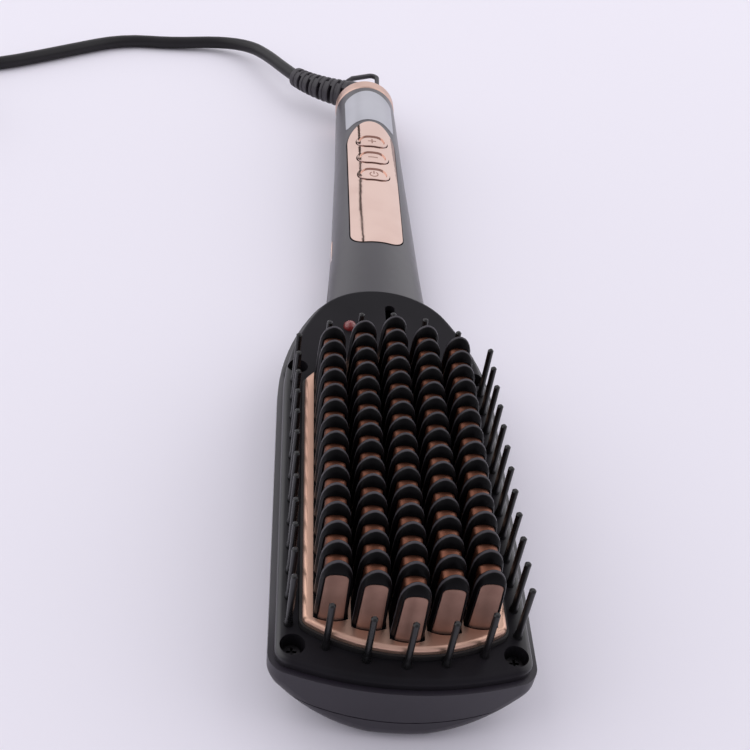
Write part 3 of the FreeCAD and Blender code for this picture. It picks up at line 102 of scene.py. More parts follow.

# %% [markdown]
# ## The cord
# A mains cord is one smooth flexible line. A NURBS curve draws it well: its control points pull the
# line without it having to touch them, so it can't kink. The cord leaves the slit sleeve and sinks
# to the table in a wide bend. The length that isn't needed lies beside the brush in a neat coil of
# two layers: one winds inward, and the next winds back out on top. The free run's points are listed,
# and a loop works out the coil's.

# %% The cord's route
CORD_RADIUS = 2.75
CORD_EXIT = (-29.5, 167.8, 10.0)
ROUTE = [
    CORD_EXIT,
    (-35.5, 177.0, 9.3),
    (-42.0, 189.0, 8.2),
    (-51.0, 202.0, 6.5),
    (-66.0, 208.5, 4.0),
    (-88.0, 204.0, 2.75),
    (-111.0, 202.0, 2.75),
    (-133.0, 185.0, 2.75),
    (-160.0, 164.0, 2.75),
    (-186.0, 154.0, 2.75),
    (-212.0, 154.0, 2.75),
]
COIL_MIDDLE = (-212.0, 112.75)
OUTER_TURN = 41.25
TURN_GAP = 2 * CORD_RADIUS
FIRST_QUARTER = 0.25
INWARD_TURNS = 3.375
RISE_TURNS = 0.5
ALL_TURNS = 7.25
POINTS_PER_TURN = 24


def coil_point(turns):
    """Where the coil is after so many turns: inward on the table, up, then outward on top."""
    inward = min(turns, INWARD_TURNS)
    outward = max(0, turns - INWARD_TURNS - RISE_TURNS)
    risen = min(max((turns - INWARD_TURNS) / RISE_TURNS, 0), 1)
    line_radius = OUTER_TURN - TURN_GAP * (inward - outward)
    radius = line_radius / math.cos(math.pi / POINTS_PER_TURN)
    angle = math.tau * (FIRST_QUARTER + turns)
    x = COIL_MIDDLE[0] + radius * math.cos(angle)
    y = COIL_MIDDLE[1] + radius * math.sin(angle)
    return (x, y, CORD_RADIUS + TURN_GAP * risen * risen * (3 - 2 * risen))


coil_steps = range(1, int(ALL_TURNS * POINTS_PER_TURN) + 1)
coil_points = [coil_point(step / POINTS_PER_TURN) for step in coil_steps]
lead_x = COIL_MIDDLE[0] - OUTER_TURN
LEAD = [(lead_x, 104.0, 7.9), (lead_x, 96.0, 7.1), (lead_x, 89.0, 7.0), (lead_x, 85.5, 7.0)]
print(len(ROUTE), "points by hand and", len(coil_points), "in the coil")

# %% [markdown]
# A curve without thickness gives its line as a mesh of edges. With a bevel the same curve gives the
# round sheath. The sheath is kept as a mesh, because its true size can then be measured. With order
# 3 the line stays close to its points. The order is set after the points, because Blender lowers an
# order that is higher than the number of points.

# %% The cord's line and sheath


def nurbs(name, points):
    data = bpy.data.curves.new(name, "CURVE")
    data.dimensions = "3D"
    spline = data.splines.new("NURBS")
    spline.points.add(len(points) - 1)
    for point, place in zip(spline.points, points):
        point.co = (*at(*place), 1)
    spline.order_u = 3
    spline.use_endpoint_u = True
    spline.resolution_u = 4
    return link(bpy.data.objects.new(name, data))


route_curve = nurbs("cord_route", ROUTE + coil_points + LEAD)
line = bpy.data.meshes.new_from_object(route_curve)
cord_line = [vertex.co.copy() for vertex in line.vertices]
cord_length = sum((end - start).length for start, end in zip(cord_line, cord_line[1:]))

route_curve.data.bevel_depth = CORD_RADIUS * MM
route_curve.data.bevel_resolution = 4
route_curve.data.use_fill_caps = True
sheath = bpy.data.meshes.new_from_object(route_curve)
sheath.shade_smooth()
bpy.data.objects.remove(route_curve)
bpy.data.meshes.remove(line)

cord = link(bpy.data.objects.new("cord", sheath))
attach(cord, "swivel")
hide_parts("cord_tube", "cord_coil", "cord_lead")
print(f"the cord is {cord_length:.3f} m long, with {len(sheath.polygons)} faces")

# %% [markdown]
# ## Finishes as Python expressions
# A material in Blender is a network of nodes. Wiring it by hand hides what it means, so a small
# class wraps one socket and lets + - and * stand for the Math nodes. The reflected forms are there
# too, so that 1 - mask works as well as mask - 1.

# %% A signal


class Signal:
    """One value that varies over a surface."""

    def __init__(self, network, socket):
        self.network = network
        self.socket = socket

    def math(self, operation, *values, clamp=False):
        settings = {"operation": operation, "use_clamp": clamp}
        return self.network.node("ShaderNodeMath", settings, *values)

    def __add__(self, other):
        return self.math("ADD", self, other)

    def __radd__(self, other):
        return self.math("ADD", other, self)

    def __sub__(self, other):
        return self.math("SUBTRACT", self, other)

    def __rsub__(self, other):
        return self.math("SUBTRACT", other, self)

    def __mul__(self, other):
        return self.math("MULTIPLY", self, other)

    def __rmul__(self, other):
        return self.math("MULTIPLY", other, self)

    def clamped(self):
        """The same value, kept between 0 and 1."""
        return self.math("ADD", self, 0.0, clamp=True)

    def size(self):
        """The value without its sign."""
        return self.math("ABSOLUTE", self)

    def repeated(self, length):
        """The distance to the nearest whole multiple of a length."""
        return self.math("PINGPONG", self, length / 2)

    def about(self, middle, spread):
        """A value from 0 to 1, moved to lie about a middle and spread over a range."""
        return middle + (self - 0.5) * spread

    def step(self, start, end):
        """0 before start, 1 after end, and smooth between them."""
        return self.network.node(
            "ShaderNodeMapRange",
            {"interpolation_type": "SMOOTHSTEP"},
            {"Value": self, "From Min": start, "From Max": end},
        )


def methods(kind):
    return [name for name in vars(kind) if not name.startswith("_")]


print("a signal knows", methods(Signal))

# %% [markdown]
# Every node is made by one method, which takes the node's type, its settings and what goes into its
# sockets. The room's light is a network of nodes too, so this part stands by itself.

# %% A network of nodes


class Network:
    """A tree of nodes and the two things done to it: adding a node and feeding a socket."""

    def __init__(self, tree):
        self.tree = tree

    def feed(self, socket, value):
        """Sets a socket to a value, or wires a signal to it."""
        if isinstance(value, Signal):
            self.tree.links.new(value.socket, socket)
        else:
            socket.default_value = value

    def node(self, kind, settings=None, *values, output=0):
        """A node of a type, with its settings, then its sockets in order or by name in a dict."""
        made = self.tree.nodes.new(kind)
        for name, value in (settings or {}).items():
            setattr(made, name, value)
        for index, value in enumerate(values):
            if isinstance(value, dict):
                for name, item in value.items():
                    self.feed(made.inputs[name], item)
            else:
                self.feed(made.inputs[index], value)
        return Signal(self, made.outputs[output])


print("a network knows", methods(Network))

# %% [markdown]
# A finish is a network that ends in the Principled shader. Patterns read the object's own
# coordinates, which are real metres here, so a grain has the same true size on every piece. Only
# what changes over a surface is wired. What is the same all over is set on the shader itself.

# %% A finish


class Finish(Network):
    """A material in the making: its node tree and the shader that it ends in."""

    def __init__(self, name):
        self.material = bpy.data.materials.new(name)
        self.material.use_nodes = True
        super().__init__(self.material.node_tree)
        self.shader = next(node for node in self.tree.nodes if node.type == "BSDF_PRINCIPLED")

    def place(self):
        """The object's own coordinates, in metres."""
        return self.node("ShaderNodeTexCoord", output="Object")

    def along(self, axis):
        """One coordinate in millimetres."""
        return self.node("ShaderNodeSeparateXYZ", None, self.place(), output=axis) * 1000

    def stretched(self, scale):
        return self.node("ShaderNodeMapping", None, {"Vector": self.place(), "Scale": scale})

    def noise(self, scale, detail=2.0, rough=0.5, vector=None):
        """Soft random patches, about 1 / scale metres wide, from 0 to 1."""
        sockets = {"Scale": scale, "Detail": detail, "Roughness": rough}
        sockets["Vector"] = vector or self.place()
        return self.node("ShaderNodeTexNoise", None, sockets)

    def drift(self, scale):
        """A slow change from 0 to 1 and back, over patches about 1 / scale metres wide."""
        return self.noise(scale, detail=3).step(0.3, 0.7)

    def cells(self, scale):
        """The distance to the nearest of many scattered points, about 1 / scale metres apart."""
        return self.node("ShaderNodeTexVoronoi", None, {"Vector": self.place(), "Scale": scale})

    def mix(self, share, first, second):
        """A colour between two colours."""
        made = self.tree.nodes.new("ShaderNodeMix")
        made.data_type = "RGBA"
        colours = {socket.name: socket for socket in made.inputs if socket.type == "RGBA"}
        self.feed(made.inputs[0], share)
        self.feed(colours["A"], first)
        self.feed(colours["B"], second)
        return Signal(self, next(socket for socket in made.outputs if socket.type == "RGBA"))

    def raised(self, height, depth):
        """A bump of a height signal, depth in millimetres."""
        sockets = {"Height": height, "Distance": depth * MM, "Strength": 1.0}
        return self.node("ShaderNodeBump", None, sockets)

    def wear(self, **sockets):
        """Feeds the shader's sockets, with underscores for spaces, and returns the material."""
        for name, value in sockets.items():
            title = name.replace("_", " ").title().replace("Ior", "IOR")
            self.feed(self.shader.inputs[title], value)
        return self.material


def colour(red, green, blue):
    """A colour as a screen shows it, from 0 to 255, turned into Blender's linear values."""
    linear = [
        value / 12.92 if value <= 0.04045 else ((value + 0.055) / 1.055) ** 2.4
        for value in (red / 255, green / 255, blue / 255)
    ]
    return (*linear, 1.0)


print("a finish knows", methods(Finish))

# %% [markdown]
# ## Moulded plastics and rubber
# Black plastic is never simply black. Its grain scatters the light, hands polish it here and there,
# and its colour drifts a little. One recipe covers the family: two close colours mixed by a slow
# noise, a roughness that wanders, and a fine grain as bump. Each real material gets its own numbers.

# %% Plastics


def handled(finish, rough, spread):
    """A roughness that hands have changed here and there."""
    return finish.noise(18, detail=4, rough=0.6).step(0.42, 0.7).about(rough, spread)


def moulding(finish, deep, pale, rough, grain, depth):
    """grain is the width of the surface texture in millimetres and depth its height."""
    fine = finish.noise(1000 / grain, detail=3, rough=0.6)
    return {
        "base_color": finish.mix(finish.drift(35), deep, pale),
        "roughness": rough + (fine - 0.5) * 0.08,
        "normal": finish.raised(fine, depth),
    }


def moulded(name, deep, pale, rough, grain, depth, spread=0.1, **sockets):
    finish = Finish(name)
    plastic = moulding(finish, deep, pale, handled(finish, rough, spread), grain, depth)
    return finish.wear(**plastic, **sockets)


pin_black = moulded(
    "pin_black", colour(14, 14, 15), colour(21, 20, 22),
    rough=0.3, spread=0.08, grain=0.3, depth=0.002, specular_ior_level=0.45)
cord_grey = moulded(
    "cord_grey", colour(22, 20, 23), colour(29, 27, 30),
    rough=0.4, spread=0.08, grain=0.5, depth=0.006, specular_ior_level=0.3)
gland_rubber = moulded(
    "gland_rubber", colour(45, 42, 47), colour(54, 50, 56),
    rough=0.5, grain=0.3, depth=0.008)
plug_black = moulded(
    "plug_black", colour(34, 34, 36), colour(42, 42, 44),
    rough=0.4, spread=0.12, grain=0.35, depth=0.008)
seal_rubber = moulded(
    "seal_rubber", colour(24, 23, 24), colour(34, 32, 33),
    rough=0.6, spread=0.08, grain=0.2, depth=0.006)
component_black = moulded(
    "component_black", colour(26, 26, 28), colour(38, 38, 40),
    rough=0.5, grain=0.15, depth=0.006)
sensor_glass = moulded(
    "sensor_glass", colour(120, 98, 70), colour(150, 126, 92),
    rough=0.3, grain=0.2, depth=0.004, coat_weight=0.5, coat_roughness=0.3)
print("seven moulded finishes share one recipe")

# %% [markdown]
# The casing and the frame round the teeth have the same recipe, and a sheen on top where they are
# touched: a clear coat whose weight follows a coordinate. The casing's sheen grows weaker toward the
# tip of the head. The frame is dull on its flat and has its sheen on the rounded rim at both sides.

# %% The casing and the frame
HEAD_TIP = -158.0
HEAD_FLANK = -138.0
TIP_SHEEN = 0.38
FRAME_FLAT = 27.0
FRAME_RIM = 32.0


def soft_shell():
    finish = Finish("soft_touch_shell")
    sheen = TIP_SHEEN + finish.along("Y").step(HEAD_TIP, HEAD_FLANK) * (1 - TIP_SHEEN)
    plastic = moulding(
        finish, colour(30, 25, 35), colour(36, 31, 41),
        rough=handled(finish, 0.42, 0.06), grain=0.25, depth=0.003)
    return finish.wear(
        **plastic, specular_ior_level=0.12, coat_weight=sheen, coat_roughness=0.42, coat_ior=1.75)


def rimmed_frame():
    finish = Finish("frame_black")
    rim = finish.along("X").size().step(FRAME_FLAT, FRAME_RIM)
    plastic = moulding(
        finish, colour(27, 26, 29), colour(34, 32, 36),
        rough=0.38 - rim * 0.05, grain=1 / 3.3, depth=0.003)
    return finish.wear(
        **plastic, specular_ior_level=0.06, coat_weight=rim, coat_roughness=0.35, coat_ior=1.6)


soft_touch = soft_shell()
frame_black = rimmed_frame()
print(f"the casing's sheen is full from Y = {HEAD_FLANK} mm on")

# %% [markdown]
# The ridges of the guard arches get a painted highlight: a paler colour along each ridge stands in
# for the light that catches it, and the roughness is a little lower there. The arches' mesh carries
# a number on every vertex: 1 along a ridge and 0 on its flanks, and the material reads it.

# %% The arches' plastic
RIDGE_HIGHLIGHT = "rubbed"

finish = Finish("arch_black")
rubbed = finish.node("ShaderNodeAttribute", {"attribute_name": RIDGE_HIGHLIGHT}, output="Fac")
fine = finish.noise(4500, detail=3, rough=0.6)
# painted highlight: the ridges are coloured paler, where light would catch them, and are a little
# smoother
ridge = rubbed.step(0.55, 1.0) * (0.7 + finish.drift(90) * 0.3)
arch_black = finish.wear(
    base_color=finish.mix(ridge, colour(10, 9, 11), colour(74, 71, 76)),
    roughness=fine.about(0.42 - ridge * 0.08, 0.08),
    normal=finish.raised(fine, 0.006),
    specular_ior_level=0.1,
)
print("the arches' plastic reads", RIDGE_HIGHLIGHT)

# %% [markdown]
# ## Rose gold
# The heating plate is metal with a satin lacquer. A brushed grain runs along it, which is noise
# stretched along Y. The fins that stand on it are coloured a darker brown, which is painted shade
# for where they sit between the guard arches.

# %% The plate's metal
FLAT_LEVEL = 25.6
FIN_LEVEL = 26.4

finish = Finish("rose_plate")
brush = finish.noise(700, detail=3, rough=0.6, vector=finish.stretched((1.0, 0.03, 1.0)))
drift = finish.drift(22)
fins = finish.along("Z").step(FLAT_LEVEL, FIN_LEVEL)
flat = finish.mix(drift, colour(212, 171, 150), colour(220, 181, 160))
worn = finish.mix(brush * 0.3, flat, colour(196, 154, 134))
# painted shade: the fins are coloured a darker brown for where they stand between the arches
brown = finish.mix(drift, colour(102, 63, 48), colour(118, 75, 58))
rose_plate = finish.wear(
    base_color=finish.mix(fins, worn, brown),
    metallic=0.85,
    roughness=brush.about(0.34, 0.1) + fins * 0.05,
    normal=finish.raised(brush, 0.0008),
)
print(f"the plate turns brown between the levels {FLAT_LEVEL} and {FIN_LEVEL} mm")

# %% [markdown]
# The control panel, the buttons and the key are moulded plastic with a plated mirror skin. They
# reflect clearly, with only the faint waves of a moulding under the plating and a haze left by
# fingers.

# %% The plated parts
finish = Finish("rose_mirror")
waves = finish.noise(60)
haze = finish.noise(25, detail=4, rough=0.65).step(0.45, 0.75)
rose_mirror = finish.wear(
    base_color=finish.mix(waves.step(0.3, 0.7), colour(215, 187, 176), colour(222, 195, 184)),
    metallic=1.0,
    roughness=0.07 + haze * 0.05,
    normal=finish.raised(waves, 0.02),
)
print("the plated parts get", rose_mirror.name)

# %% [markdown]
# Three parts are satin metal. The fins' ends are a dull copper with a coarse grain, the ring at the
# tail is plated over a satin surface, and the label is a foil. Their colour drifts slowly, and one
# fine noise makes both their bump and their roughness.

# %% Satin metal


def satin_metal(name, deep, pale, patches, grain, metallic, rough, spread, depth):
    """patches is the scale of the drift in colour, and grain says what the fine noise is like."""
    finish = Finish(name)
    fine = finish.noise(**grain)
    return finish.wear(
        base_color=finish.mix(finish.drift(patches), deep, pale),
        metallic=metallic,
        roughness=fine.about(rough, spread),
        normal=finish.raised(fine, depth),
    )


fin_end_copper = satin_metal(
    "fin_end_copper", colour(152, 117, 103), colour(166, 130, 115), 160,
    {"scale": 1400, "detail": 3, "rough": 0.6}, metallic=0.7, rough=0.46, spread=0.12, depth=0.003)
rose_satin = satin_metal(
    "rose_satin", colour(206, 174, 160), colour(214, 183, 170), 40,
    {"scale": 900}, metallic=0.75, rough=0.36, spread=0.1, depth=0.002)
label_foil = satin_metal(
    "label_foil", colour(176, 177, 184), colour(190, 190, 197), 30,
    {"scale": 2500}, metallic=0.35, rough=0.34, spread=0.1, depth=0.002)
print("three satin metals:", fin_end_copper.name, rose_satin.name, label_foil.name)

# %% [markdown]
# Screws, needles, contacts and prongs are turned or drawn, so their grain runs round them. The noise
# is squeezed along Z for it, and stains change the metal's colour a little.

# %% Turned metal


def turned_metal(name, deep, pale, rough):
    finish = Finish(name)
    rings = finish.noise(2500, vector=finish.stretched((1, 1, 6)))
    stain = finish.noise(300, detail=3).step(0.3, 0.75)
    return finish.wear(
        base_color=finish.mix(stain, deep, pale),
        metallic=1.0,
        roughness=rings.about(rough, 0.12),
        normal=finish.raised(rings, 0.004),
    )


steel = turned_metal("steel", colour(40, 39, 41), colour(58, 56, 58), 0.36)
brass = turned_metal("contact_brass", colour(190, 150, 84), colour(214, 178, 110), 0.28)
prong_metal = turned_metal("prong_metal", colour(176, 172, 168), colour(202, 198, 192), 0.24)
print("three turned metals:", steel.name, brass.name, prong_metal.name)

# %% [markdown]
# ## Inside the head and the handle
# Under the plate lie a ceramic heater and a sheet of mica, and the handle holds a circuit board. A
# Voronoi pattern gives specks and flakes, and lines that repeat across X give the board its tracks.

# %% The inner parts


def heater_ceramic():
    finish = Finish("heater_ceramic")
    specks = finish.cells(900).step(0.0, 0.6)
    return finish.wear(
        base_color=finish.mix(specks, colour(206, 200, 190), colour(226, 221, 212)),
        roughness=0.62 + specks * 0.1,
        normal=finish.raised(specks, 0.01),
    )


def mica():
    finish = Finish("mica")
    flakes = finish.cells(260)
    return finish.wear(
        base_color=finish.mix(flakes.step(0.1, 0.8), colour(150, 122, 84), colour(196, 170, 128)),
        roughness=0.3 + flakes * 0.25,
        normal=finish.raised(flakes, 0.02),
        coat_weight=0.4,
    )


TRACK_PITCH = 2.4
TRACK_HALF = 0.5


def circuit_board():
    finish = Finish("circuit_board")
    across = finish.along("X").repeated(TRACK_PITCH)
    laid = finish.noise(220, detail=1).step(0.45, 0.5)
    tracks = (TRACK_HALF - across).step(0.0, 0.25) * laid
    cloth = finish.noise(1500, detail=1)
    board = finish.mix(cloth, colour(20, 84, 52), colour(28, 98, 60))
    return finish.wear(
        base_color=finish.mix(tracks, board, colour(62, 140, 84)),
        roughness=0.32 + cloth * 0.1,
        normal=finish.raised(tracks, 0.03),
        coat_weight=0.3,
    )


inner_finishes = {"heater": heater_ceramic(), "mica": mica(), "board": circuit_board()}
print("the inner parts get", sorted(inner_finishes))

# %% [markdown]
# The signal lamp is a red dome of glass over a small diode. Both let part of the light through and
# keep a cloudy colour of their own.

# %% The lamp


def glass_dome():
    finish = Finish("lens_red")
    cloud = finish.noise(400)
    return finish.wear(
        base_color=finish.mix(cloud, colour(138, 44, 46), colour(168, 62, 60)),
        roughness=0.12 + cloud * 0.06,
        transmission_weight=0.45,
        coat_weight=0.6,
        normal=finish.raised(cloud, 0.01),
    )


def clear_diode():
    finish = Finish("diode")
    cloud = finish.noise(500)
    return finish.wear(
        base_color=finish.mix(cloud, colour(214, 150, 140), colour(228, 176, 168)),
        roughness=0.2 + cloud * 0.1,
        transmission_weight=0.5,
    )


lamp_finishes = {"lens_red": glass_dome(), "led": clear_diode()}
print("the lamp gets", sorted(lamp_finishes))

# %% [markdown]
# ## Dressing the CAD parts
# Every CAD part names a slot for its material. One table turns each slot into a finish, and a loop
# dresses the parts. Two groups differ from their slot: the ring at the tail and the outer pins.

# %% Every CAD part gets its finish
FINISHES = {
    "soft_touch": soft_touch,
    "frame_black": frame_black,
    "arch_black": arch_black,
    "seal": seal_rubber,
    "rose_plate": rose_plate,
    "rose_mirror": rose_mirror,
    "sensor": sensor_glass,
    "steel": steel,
    "component": component_black,
    "contact_brass": brass,
    "gland_rubber": gland_rubber,
    "cord_grey": cord_grey,
    "plug_black": plug_black,
    "prong": prong_metal,
    **inner_finishes,
    **lamp_finishes,
}


def dress(piece, material):
    piece.data.materials.clear()
    piece.data.materials.append(material)


for part in frame["record"]["subparts"]:
    dress(nodes[part["node"]], FINISHES[part["material_slot"]])
dress(nodes["tail_ring"], rose_satin)
for name in ("side_pins_left", "side_pins_right", "end_pins_front", "end_pins_rear"):
    dress(nodes[name], pin_black)
dress(cord, cord_grey)
print(len(FINISHES), "finishes on", len(nodes), "parts")

# %% [markdown]
# ## From bmesh to a piece
# Each new piece starts as a bmesh, Blender's editable mesh. One helper closes it: the normals are
# made to point outward, faces are shaded smooth, and edges sharper than a given angle stay crisp.
# The helper also says which body the piece rides on, so that it moves with the joints.

# %% From bmesh to a piece
WELD = 1e-6


def object_from(mesh, name, material):
    data = bpy.data.meshes.new(name)
    mesh.to_mesh(data)
    mesh.free()
    made = link(bpy.data.objects.new(name, data))
    dress(made, material)
    return made


def piece_from(mesh, name, body, material, crisp=40):
    """crisp is the angle in degrees from which an edge stays sharp."""
    bmesh.ops.remove_doubles(mesh, verts=mesh.verts, dist=WELD)
    bmesh.ops.recalc_face_normals(mesh, faces=mesh.faces)
    for face in mesh.faces:
        face.smooth = True
    for edge in mesh.edges:
        edge.smooth = edge.calc_face_angle(0) < math.radians(crisp)
    piece = object_from(mesh, name, material)
    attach(piece, body)
    print(f"{name}: {len(piece.data.polygons)} faces")
    return piece


def merged_copy(name):
    """A bmesh of a CAD part whose loose triangles are joined."""
    mesh = bmesh.new()
    mesh.from_mesh(nodes[name].data)
    bmesh.ops.remove_doubles(mesh, verts=mesh.verts, dist=WELD)
    return mesh


print(f"vertices closer than {WELD / MM:.3f} mm are merged")

# %% [markdown]
# Most of the new shapes are tubes of one kind or another: closed loops of edges, each bridged to the
# next, with a face over each end. An arc gives the points of a round stretch.

# %% Loops and tubes


def ring(mesh, places):
    """A closed loop of edges through places in millimetres."""
    corners = [mesh.verts.new(at(*place)) for place in places]
    return [mesh.edges.new((corners[index - 1], corner)) for index, corner in enumerate(corners)]


def closed_tube(mesh, loops):
    """Joins each loop of edges to the next, and closes the first and the last."""
    for first, second in zip(loops, loops[1:]):
        bmesh.ops.bridge_loops(mesh, edges=first + second)
    for end in (loops[0], loops[-1]):
        bmesh.ops.holes_fill(mesh, edges=end, sides=0)


def arc(middle, reach, start, end, steps):
    """Points on part of an ellipse, from one angle in degrees to another."""
    for step in range(steps + 1):
        angle = math.radians(start + (end - start) * step / steps)
        yield (middle[0] + reach[0] * math.cos(angle), middle[1] + reach[1] * math.sin(angle))


def box_in_mm(name):
    return [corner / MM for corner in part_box(name)]


print("a quarter circle:", list(arc((0, 0), (1, 1), 0, 90, 2)))

# %% [markdown]
# ## The heating plate
# The plate and its five fins are one casting. The CAD part has its shape, but its fins end a little
# higher and rounder than the real ones. So the plate is a merged copy of the CAD mesh, and only the
# vertices above the fins' shoulders are eased down.

# %% The plate with eased fin tops
FIN_SHOULDER = 39.4
CAD_FIN_RISE = 2.4
FIN_TOP = 40.8
EASE = (FIN_TOP - FIN_SHOULDER) / CAD_FIN_RISE

mesh = merged_copy("heating_plate")
for vertex in mesh.verts:
    above = vertex.co.z / MM - FIN_SHOULDER
    if above > 0:
        vertex.co.z = (FIN_SHOULDER + above * EASE) * MM
plate = piece_from(mesh, "plate_with_fins", "brush", rose_plate, crisp=28)
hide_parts("heating_plate")

# %% [markdown]
# ## The guard arches
# The teeth are copper fins that run hot, and a row of black arches straddles each fin so that only
# the arches touch the scalp. An arch is a rib bent over the fin: wide where it meets the fin, with
# two flanks that lean together into a narrow rounded ridge. It is made of U-shaped rings. The rings
# share one inner line, and the outer line climbs from ring to ring and sinks again, as the rib's
# section does.

# %% The lines of an arch
STRIP_FOOT = 24.8
SHOULDER = 37.2
ARCH_TOP = 43.9
FOOT_HALVES = (3.25, 4.15)
SHOULDER_HALVES = (2.99, 3.92)
FIN_GAP = 0.15
FIN_FLAT = 0.35
INNER_CORNER = (2.55, FIN_TOP + FIN_GAP - FIN_SHOULDER)
OUTER_CORNER = (SHOULDER_HALVES[1], ARCH_TOP - SHOULDER)

inner_half = [
    (FOOT_HALVES[0], STRIP_FOOT),
    (SHOULDER_HALVES[0], SHOULDER),
    *arc((FIN_FLAT, FIN_SHOULDER), INNER_CORNER, 0, 90, 4),
    (0, FIN_TOP + FIN_GAP),
]
outer_half = [
    (FOOT_HALVES[1], STRIP_FOOT),
    (SHOULDER_HALVES[1], SHOULDER),
    *arc((0, SHOULDER), OUTER_CORNER, 20, 80, 4),
    (0, ARCH_TOP),
]
print(f"an arch is {ARCH_TOP - FIN_TOP:.1f} mm thick at its top")

# %% [markdown]
# A rib's section is a list of stations. Each has its place along the arch, from -1 to 1, and its
# swell: how far the ring's outer line has climbed from the inner line toward its full reach.

# %% One arch
ARCH_LENGTH = 3.3
RIB = [(-1.0, 0.3), (-0.42, 0.88), (-0.2, 0.98), (0.2, 0.98), (0.42, 0.88), (1.0, 0.3)]
RIDGE_SWELL = 0.95


def arch_ring(mesh, x, y, swell):
    """A U-shaped ring, marked where it is part of the ridge that gets the painted highlight."""
    rubbed = mesh.verts.layers.float.get(RIDGE_HIGHLIGHT) or mesh.verts.layers.float.new(RIDGE_HIGHLIGHT)
    side = [
        (from_x + (to_x - from_x) * swell, from_z + (to_z - from_z) * swell)
        for (from_x, from_z), (to_x, to_z) in zip(inner_half, outer_half)
    ]
    right_to_left = side + [(-px, pz) for px, pz in side[-2::-1]]
    back_again = [(-px, pz) for px, pz in inner_half[:-1]] + inner_half[::-1]
    loop = ring(mesh, [(x + px, y, pz) for px, pz in right_to_left + back_again])
    for vertex in list(mesh.verts)[-len(loop):-len(back_again)]:
        vertex[rubbed] = 1.0 if swell > RIDGE_SWELL else 0.0
    return loop


def arch(mesh, x, y):
    half = ARCH_LENGTH / 2
    closed_tube(mesh, [arch_ring(mesh, x, y + half * station, swell) for station, swell in RIB])


print(f"an arch has {len(RIB)} rings and is {ARCH_LENGTH} mm long")

# %% [markdown]
# The arches of one row are one moulding: a thin strip let into the plate joins their feet. The strip
# is a flat ring round the fin, with slightly bowed ends. Two loops are bridged to make its foot, and
# the foot is extruded up.

# %% A row of arches on its strip
ROW_COUNTS = (15, 16, 17, 16, 15)
ARCH_PITCH = 6.38
STRIP_HALF = 4.2
STRIP_BOW = 0.95
STRIP_HEIGHT = 0.45
SEAT_BOW = 0.87
END_GAP = 1.1


def bowed(x, low, high, half_width, bow, inset):
    """A long outline with bowed ends, whose corners lie an inset inside its two ends."""
    return [
        (x + px, end + py, STRIP_FOOT)
        for end, start in ((high - inset, 0), (low + inset, 180))
        for px, py in arc((0, 0), (half_width, bow), start, start + 180, 8)
    ]


def strip(mesh, x, low, high):
    outer = ring(mesh, bowed(x, low, high, STRIP_HALF, STRIP_BOW, STRIP_BOW))
    inner = ring(mesh, bowed(x, low, high, FOOT_HALVES[0], SEAT_BOW, END_GAP))
    foot = bmesh.ops.bridge_loops(mesh, edges=outer + inner)["faces"]
    raised = bmesh.ops.extrude_face_region(mesh, geom=foot, use_keep_orig=True)["geom"]
    top = [item for item in raised if isinstance(item, bmesh.types.BMVert)]
    bmesh.ops.translate(mesh, verts=top, vec=at(0, 0, STRIP_HEIGHT))


for row, count in enumerate(ROW_COUNTS, 1):
    low, high = box_in_mm(f"guard_row_{row}")
    middle = (low + high) / 2
    mesh = bmesh.new()
    for index in range(count):
        arch(mesh, middle.x, middle.y + ARCH_PITCH * (index - (count - 1) / 2))
    strip(mesh, middle.x, low.y, high.y)
    row_piece = piece_from(mesh, f"arches_{row}", "brush", arch_black, crisp=50)
    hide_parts(f"guard_row_{row}")

# %% [markdown]
# A fin isn't cut off square: each end swells out like a nose. The nose is a grid that is bent to the
# fin's outline and bowed forward, most at its foot. Extruding it back into the fin closes it.

# %% The ends of the fins
FIN_FOOT = 24.4
FIN_FOOT_HALF = 3.1
FIN_HALF = 2.75
NOSE_EDGE = 0.05
NOSE_BOW = 0.68
NOSE_SIDES = 0.96
NOSE_LEAN = 0.9
NOSE_DEPTH = 0.3


def nose(mesh, x, end, way):
    """way is -1 for the end near the head's tip and 1 for the other."""
    faces_before = len(mesh.faces)
    sheet = bmesh.ops.create_grid(mesh, x_segments=12, y_segments=14, size=1)["verts"]
    for vertex in sheet:
        across, up = vertex.co.x, (vertex.co.y + 1) / 2
        past = max(0, abs(across) * FIN_HALF - FIN_FLAT)
        top = FIN_SHOULDER + EASE * math.sqrt(CAD_FIN_RISE**2 - past * past)
        height = FIN_FOOT + (top - FIN_FOOT) * up
        narrowed = min(1, (height - FIN_FOOT) / (FIN_SHOULDER - FIN_FOOT))
        half = FIN_FOOT_HALF + (FIN_HALF - FIN_FOOT_HALF) * narrowed
        swell = NOSE_BOW * math.sqrt(1 - NOSE_SIDES * across * across) * (1 - NOSE_LEAN * up)
        vertex.co = at(x + across * half, end + way * (NOSE_EDGE + swell), height)
    front = list(mesh.faces)[faces_before:]
    raised = bmesh.ops.extrude_face_region(mesh, geom=front, use_keep_orig=True)["geom"]
    for item in raised:
        if isinstance(item, bmesh.types.BMVert):
            item.co.y = (end - way * NOSE_DEPTH) * MM


mesh = bmesh.new()
for row in range(1, len(ROW_COUNTS) + 1):
    low, high = box_in_mm(f"guard_row_{row}")
    nose(mesh, (low.x + high.x) / 2, low.y + END_GAP, -1)
    nose(mesh, (low.x + high.x) / 2, high.y - END_GAP, 1)
piece_from(mesh, "fin_ends", "brush", fin_end_copper)

# %% [markdown]
# ## The bend relief
# The sleeve that guards the cord is moulded with short slits. They open on two opposite sides in
# turn, so the sleeve bends like a spine without coming apart. It is built from slices along a bent
# line. A hoop is a circle set across that line.

# %% The sleeve's line
RELIEF_ROOT = Vector((-6.2, 150.8, 12.5))
RELIEF_END = Vector(CORD_EXIT)
RELIEF_BOW = math.radians(16)
RELIEF_RADII = (6.1, 4.3)

